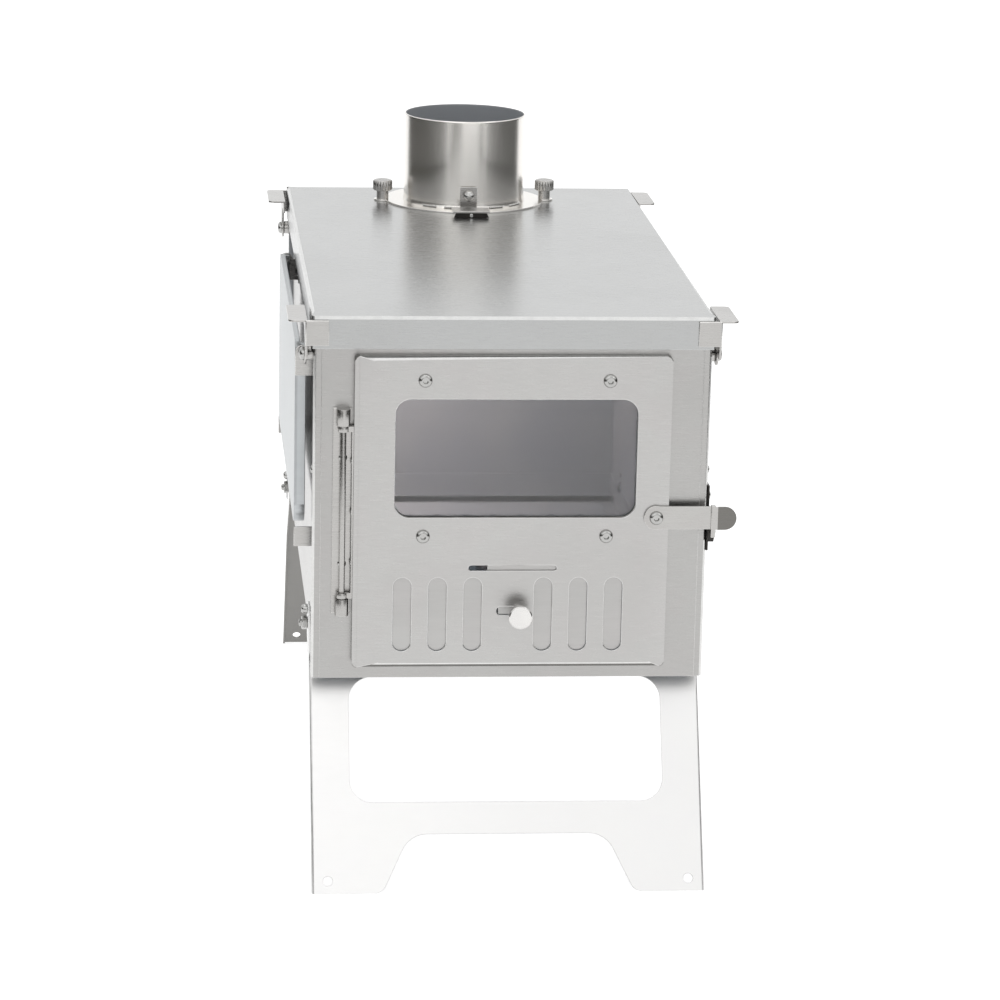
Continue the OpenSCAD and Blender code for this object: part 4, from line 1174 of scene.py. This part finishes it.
# Cards: where two ends stand, how tall, and their grey.
CARDS = {
    "left_card": ((-1.2, -1.5), (-1.2, 1.5), 0.6, (0.08, 0.078, 0.07)),
    "right_card": ((1.2, -1.5), (1.2, 0.8), 0.6, (0.12, 0.12, 0.115)),
    "left_front_card": ((-1.15, -1.6), (-0.3, -1.6), 0.45, (0.2, 0.195, 0.18)),
    "right_front_card": ((0.75, -1.6), (1.15, -1.6), 0.45, (0.2, 0.2, 0.19)),
}

# Lamps: place, aim, size, watts and colour. Two small ones stay inside the firebox.
WHITE, COOL, COLD, WARM = (1, 1, 1), (0.97, 1.0, 1.0), (0.8, 0.93, 1.0), (1.0, 0.87, 0.83)
LAMPS = {
    "key_box": ((-1.2, -2.6, 2.4), (0, 0, 0.2), (3.0, 3.0), 12, WHITE),
    "fill_box": ((1.9, -1.6, 2.4), (0, 0, 0.2), (1.2, 1.2), 5, WHITE),
    "top_box": ((0, 0.4, 2.6), (0, 0, 0.2), (2.0, 2.0), 12, WHITE),
    "back_box": ((0, 2.4, 1.0), (0, 0, 0.3), (2.6, 1.3), 1.3, COOL),
    "inside_front": ((0.0, -0.16, 0.287), (-0.02, 0.2, 0.14), (0.08, 0.04), 0.08, COLD),
    "inside_left": ((-0.084, 0.08, 0.287), (-0.088, 0.2, 0.2), (0.034, 0.034), 0.28, WARM),
}


def seen_directly(tree):
    """1 for rays from the camera and for those that metal and glass send on."""
    path = put(tree, "ShaderNodeLightPath").outputs
    shiny = math_node(tree, "MAXIMUM", path["Is Glossy Ray"], path["Is Transmission Ray"])
    return math_node(tree, "MAXIMUM", path["Is Camera Ray"], shiny)


def dull_finish(name, scale, first, second, rough):
    """A dull material that drifts between two greys; gives its tree and its shader too."""
    material, tree, shader, place = new_material(name)
    drift = put(tree, "ShaderNodeTexNoise", {"Vector": place, "Scale": scale})
    tint = mixed(tree, drift.outputs["Fac"], first + (1,), second + (1,))
    tree.links.new(tint, shader.inputs["Base Color"])
    shader.inputs["Roughness"].default_value = rough
    shader.inputs["Specular IOR Level"].default_value = 0.0
    return material, tree, shader


def floor_finish():
    """Pale floor that stays white to the camera and keeps the stove's shadow."""
    material, tree, shader = dull_finish("pale_floor", 3.0, (0.6,) * 3, (0.63,) * 3, 0.9)
    strength = math_node(tree, "MULTIPLY", seen_directly(tree), FLOOR_LIFT)
    lift = put(tree, "ShaderNodeEmission", {"Color": (1, 1, 1, 1), "Strength": strength})
    both = put(tree, "ShaderNodeAddShader", {0: shader.outputs[0], 1: lift.outputs[0]})
    tree.links.new(both.outputs[0], tree.nodes["Material Output"].inputs["Surface"])
    return material


def card_finish(name, shade):
    """Dull card whose grey drifts a little."""
    lighter = tuple(min(1.0, 1.3 * part) for part in shade)
    return dull_finish(name, 1.5, shade, lighter, 1.0)[0]


def add_sheet(name, corners, finish):
    """A flat four-cornered piece of the studio."""
    mesh = bpy.data.meshes.new(name)
    mesh.from_pydata(corners, [], [(0, 1, 2, 3)])
    mesh.materials.append(finish)
    sheet = new_object(name, mesh)
    return sheet


def add_card(name, first, second, tall, shade):
    """A dark card that stands on the floor beside the stove, seen only in its polish."""
    corners = [(*first, 0), (*second, 0), (*second, tall), (*first, tall)]
    card = add_sheet(name, corners, card_finish(name, shade))
    card.visible_camera = False
    card.visible_diffuse = False
    card.visible_shadow = False
    card.visible_transmission = False


def add_world():
    """White air: full to the camera and in polished metal, dimmer as a light."""
    world = bpy.data.worlds.new("studio_air")
    world.use_nodes = True
    tree = world.node_tree
    air = tree.nodes["Background"]
    air.inputs["Color"].default_value = (1, 1, 1, 1)
    strength = ramp(tree, seen_directly(tree), 0.0, 1.0, AIR_LEVEL, 1.0)
    tree.links.new(strength, air.inputs["Strength"])
    bpy.context.scene.world = world


def soft_light(name, place, aim, size, power, colour):
    """A soft box that looks at a point."""
    lamp = bpy.data.lights.new(name, "AREA")
    lamp.shape = "RECTANGLE"
    lamp.size, lamp.size_y = size
    lamp.energy = power
    lamp.color = colour
    holder = new_object(name, lamp)
    holder.location = place
    holder.rotation_euler = (Vector(aim) - Vector(place)).to_track_quat("-Z", "Y").to_euler()


def add_camera():
    """The photograph's view: long lens, a little to the left and above, barely rolled."""
    yaw, pitch, roll = (math.radians(angle) for angle in PHOTO_ANGLES)
    ahead = Vector(
        (math.sin(yaw) * math.cos(pitch), math.cos(yaw) * math.cos(pitch), -math.sin(pitch))
    )
    level = Vector((math.cos(yaw), -math.sin(yaw), 0))
    upright = level.cross(ahead)
    right = math.cos(roll) * level + math.sin(roll) * upright
    top = math.cos(roll) * upright - math.sin(roll) * level
    lens = bpy.data.cameras.new("photo_view")
    lens.sensor_width = 36.0
    lens.lens = PHOTO_LENS
    lens.clip_start, lens.clip_end = 0.05, 60.0
    camera = new_object("photo_view", lens)
    turn = Matrix((right, top, -ahead)).transposed().to_4x4()
    camera.matrix_world = Matrix.Translation(PHOTO_PLACE) @ turn
    bpy.context.scene.camera = camera


quarters = ((-1, -1), (1, -1), (1, 1), (-1, 1))
floor_corners = [(x * FLOOR_REACH, y * FLOOR_REACH, 0) for x, y in quarters]
add_sheet("studio_floor", floor_corners, floor_finish())
add_world()
for card_name, card_facts in CARDS.items():
    add_card(card_name, *card_facts)
for lamp_name, lamp_facts in LAMPS.items():
    soft_light(lamp_name, *lamp_facts)
add_camera()
bpy.context.scene.view_settings.view_transform = "Standard"
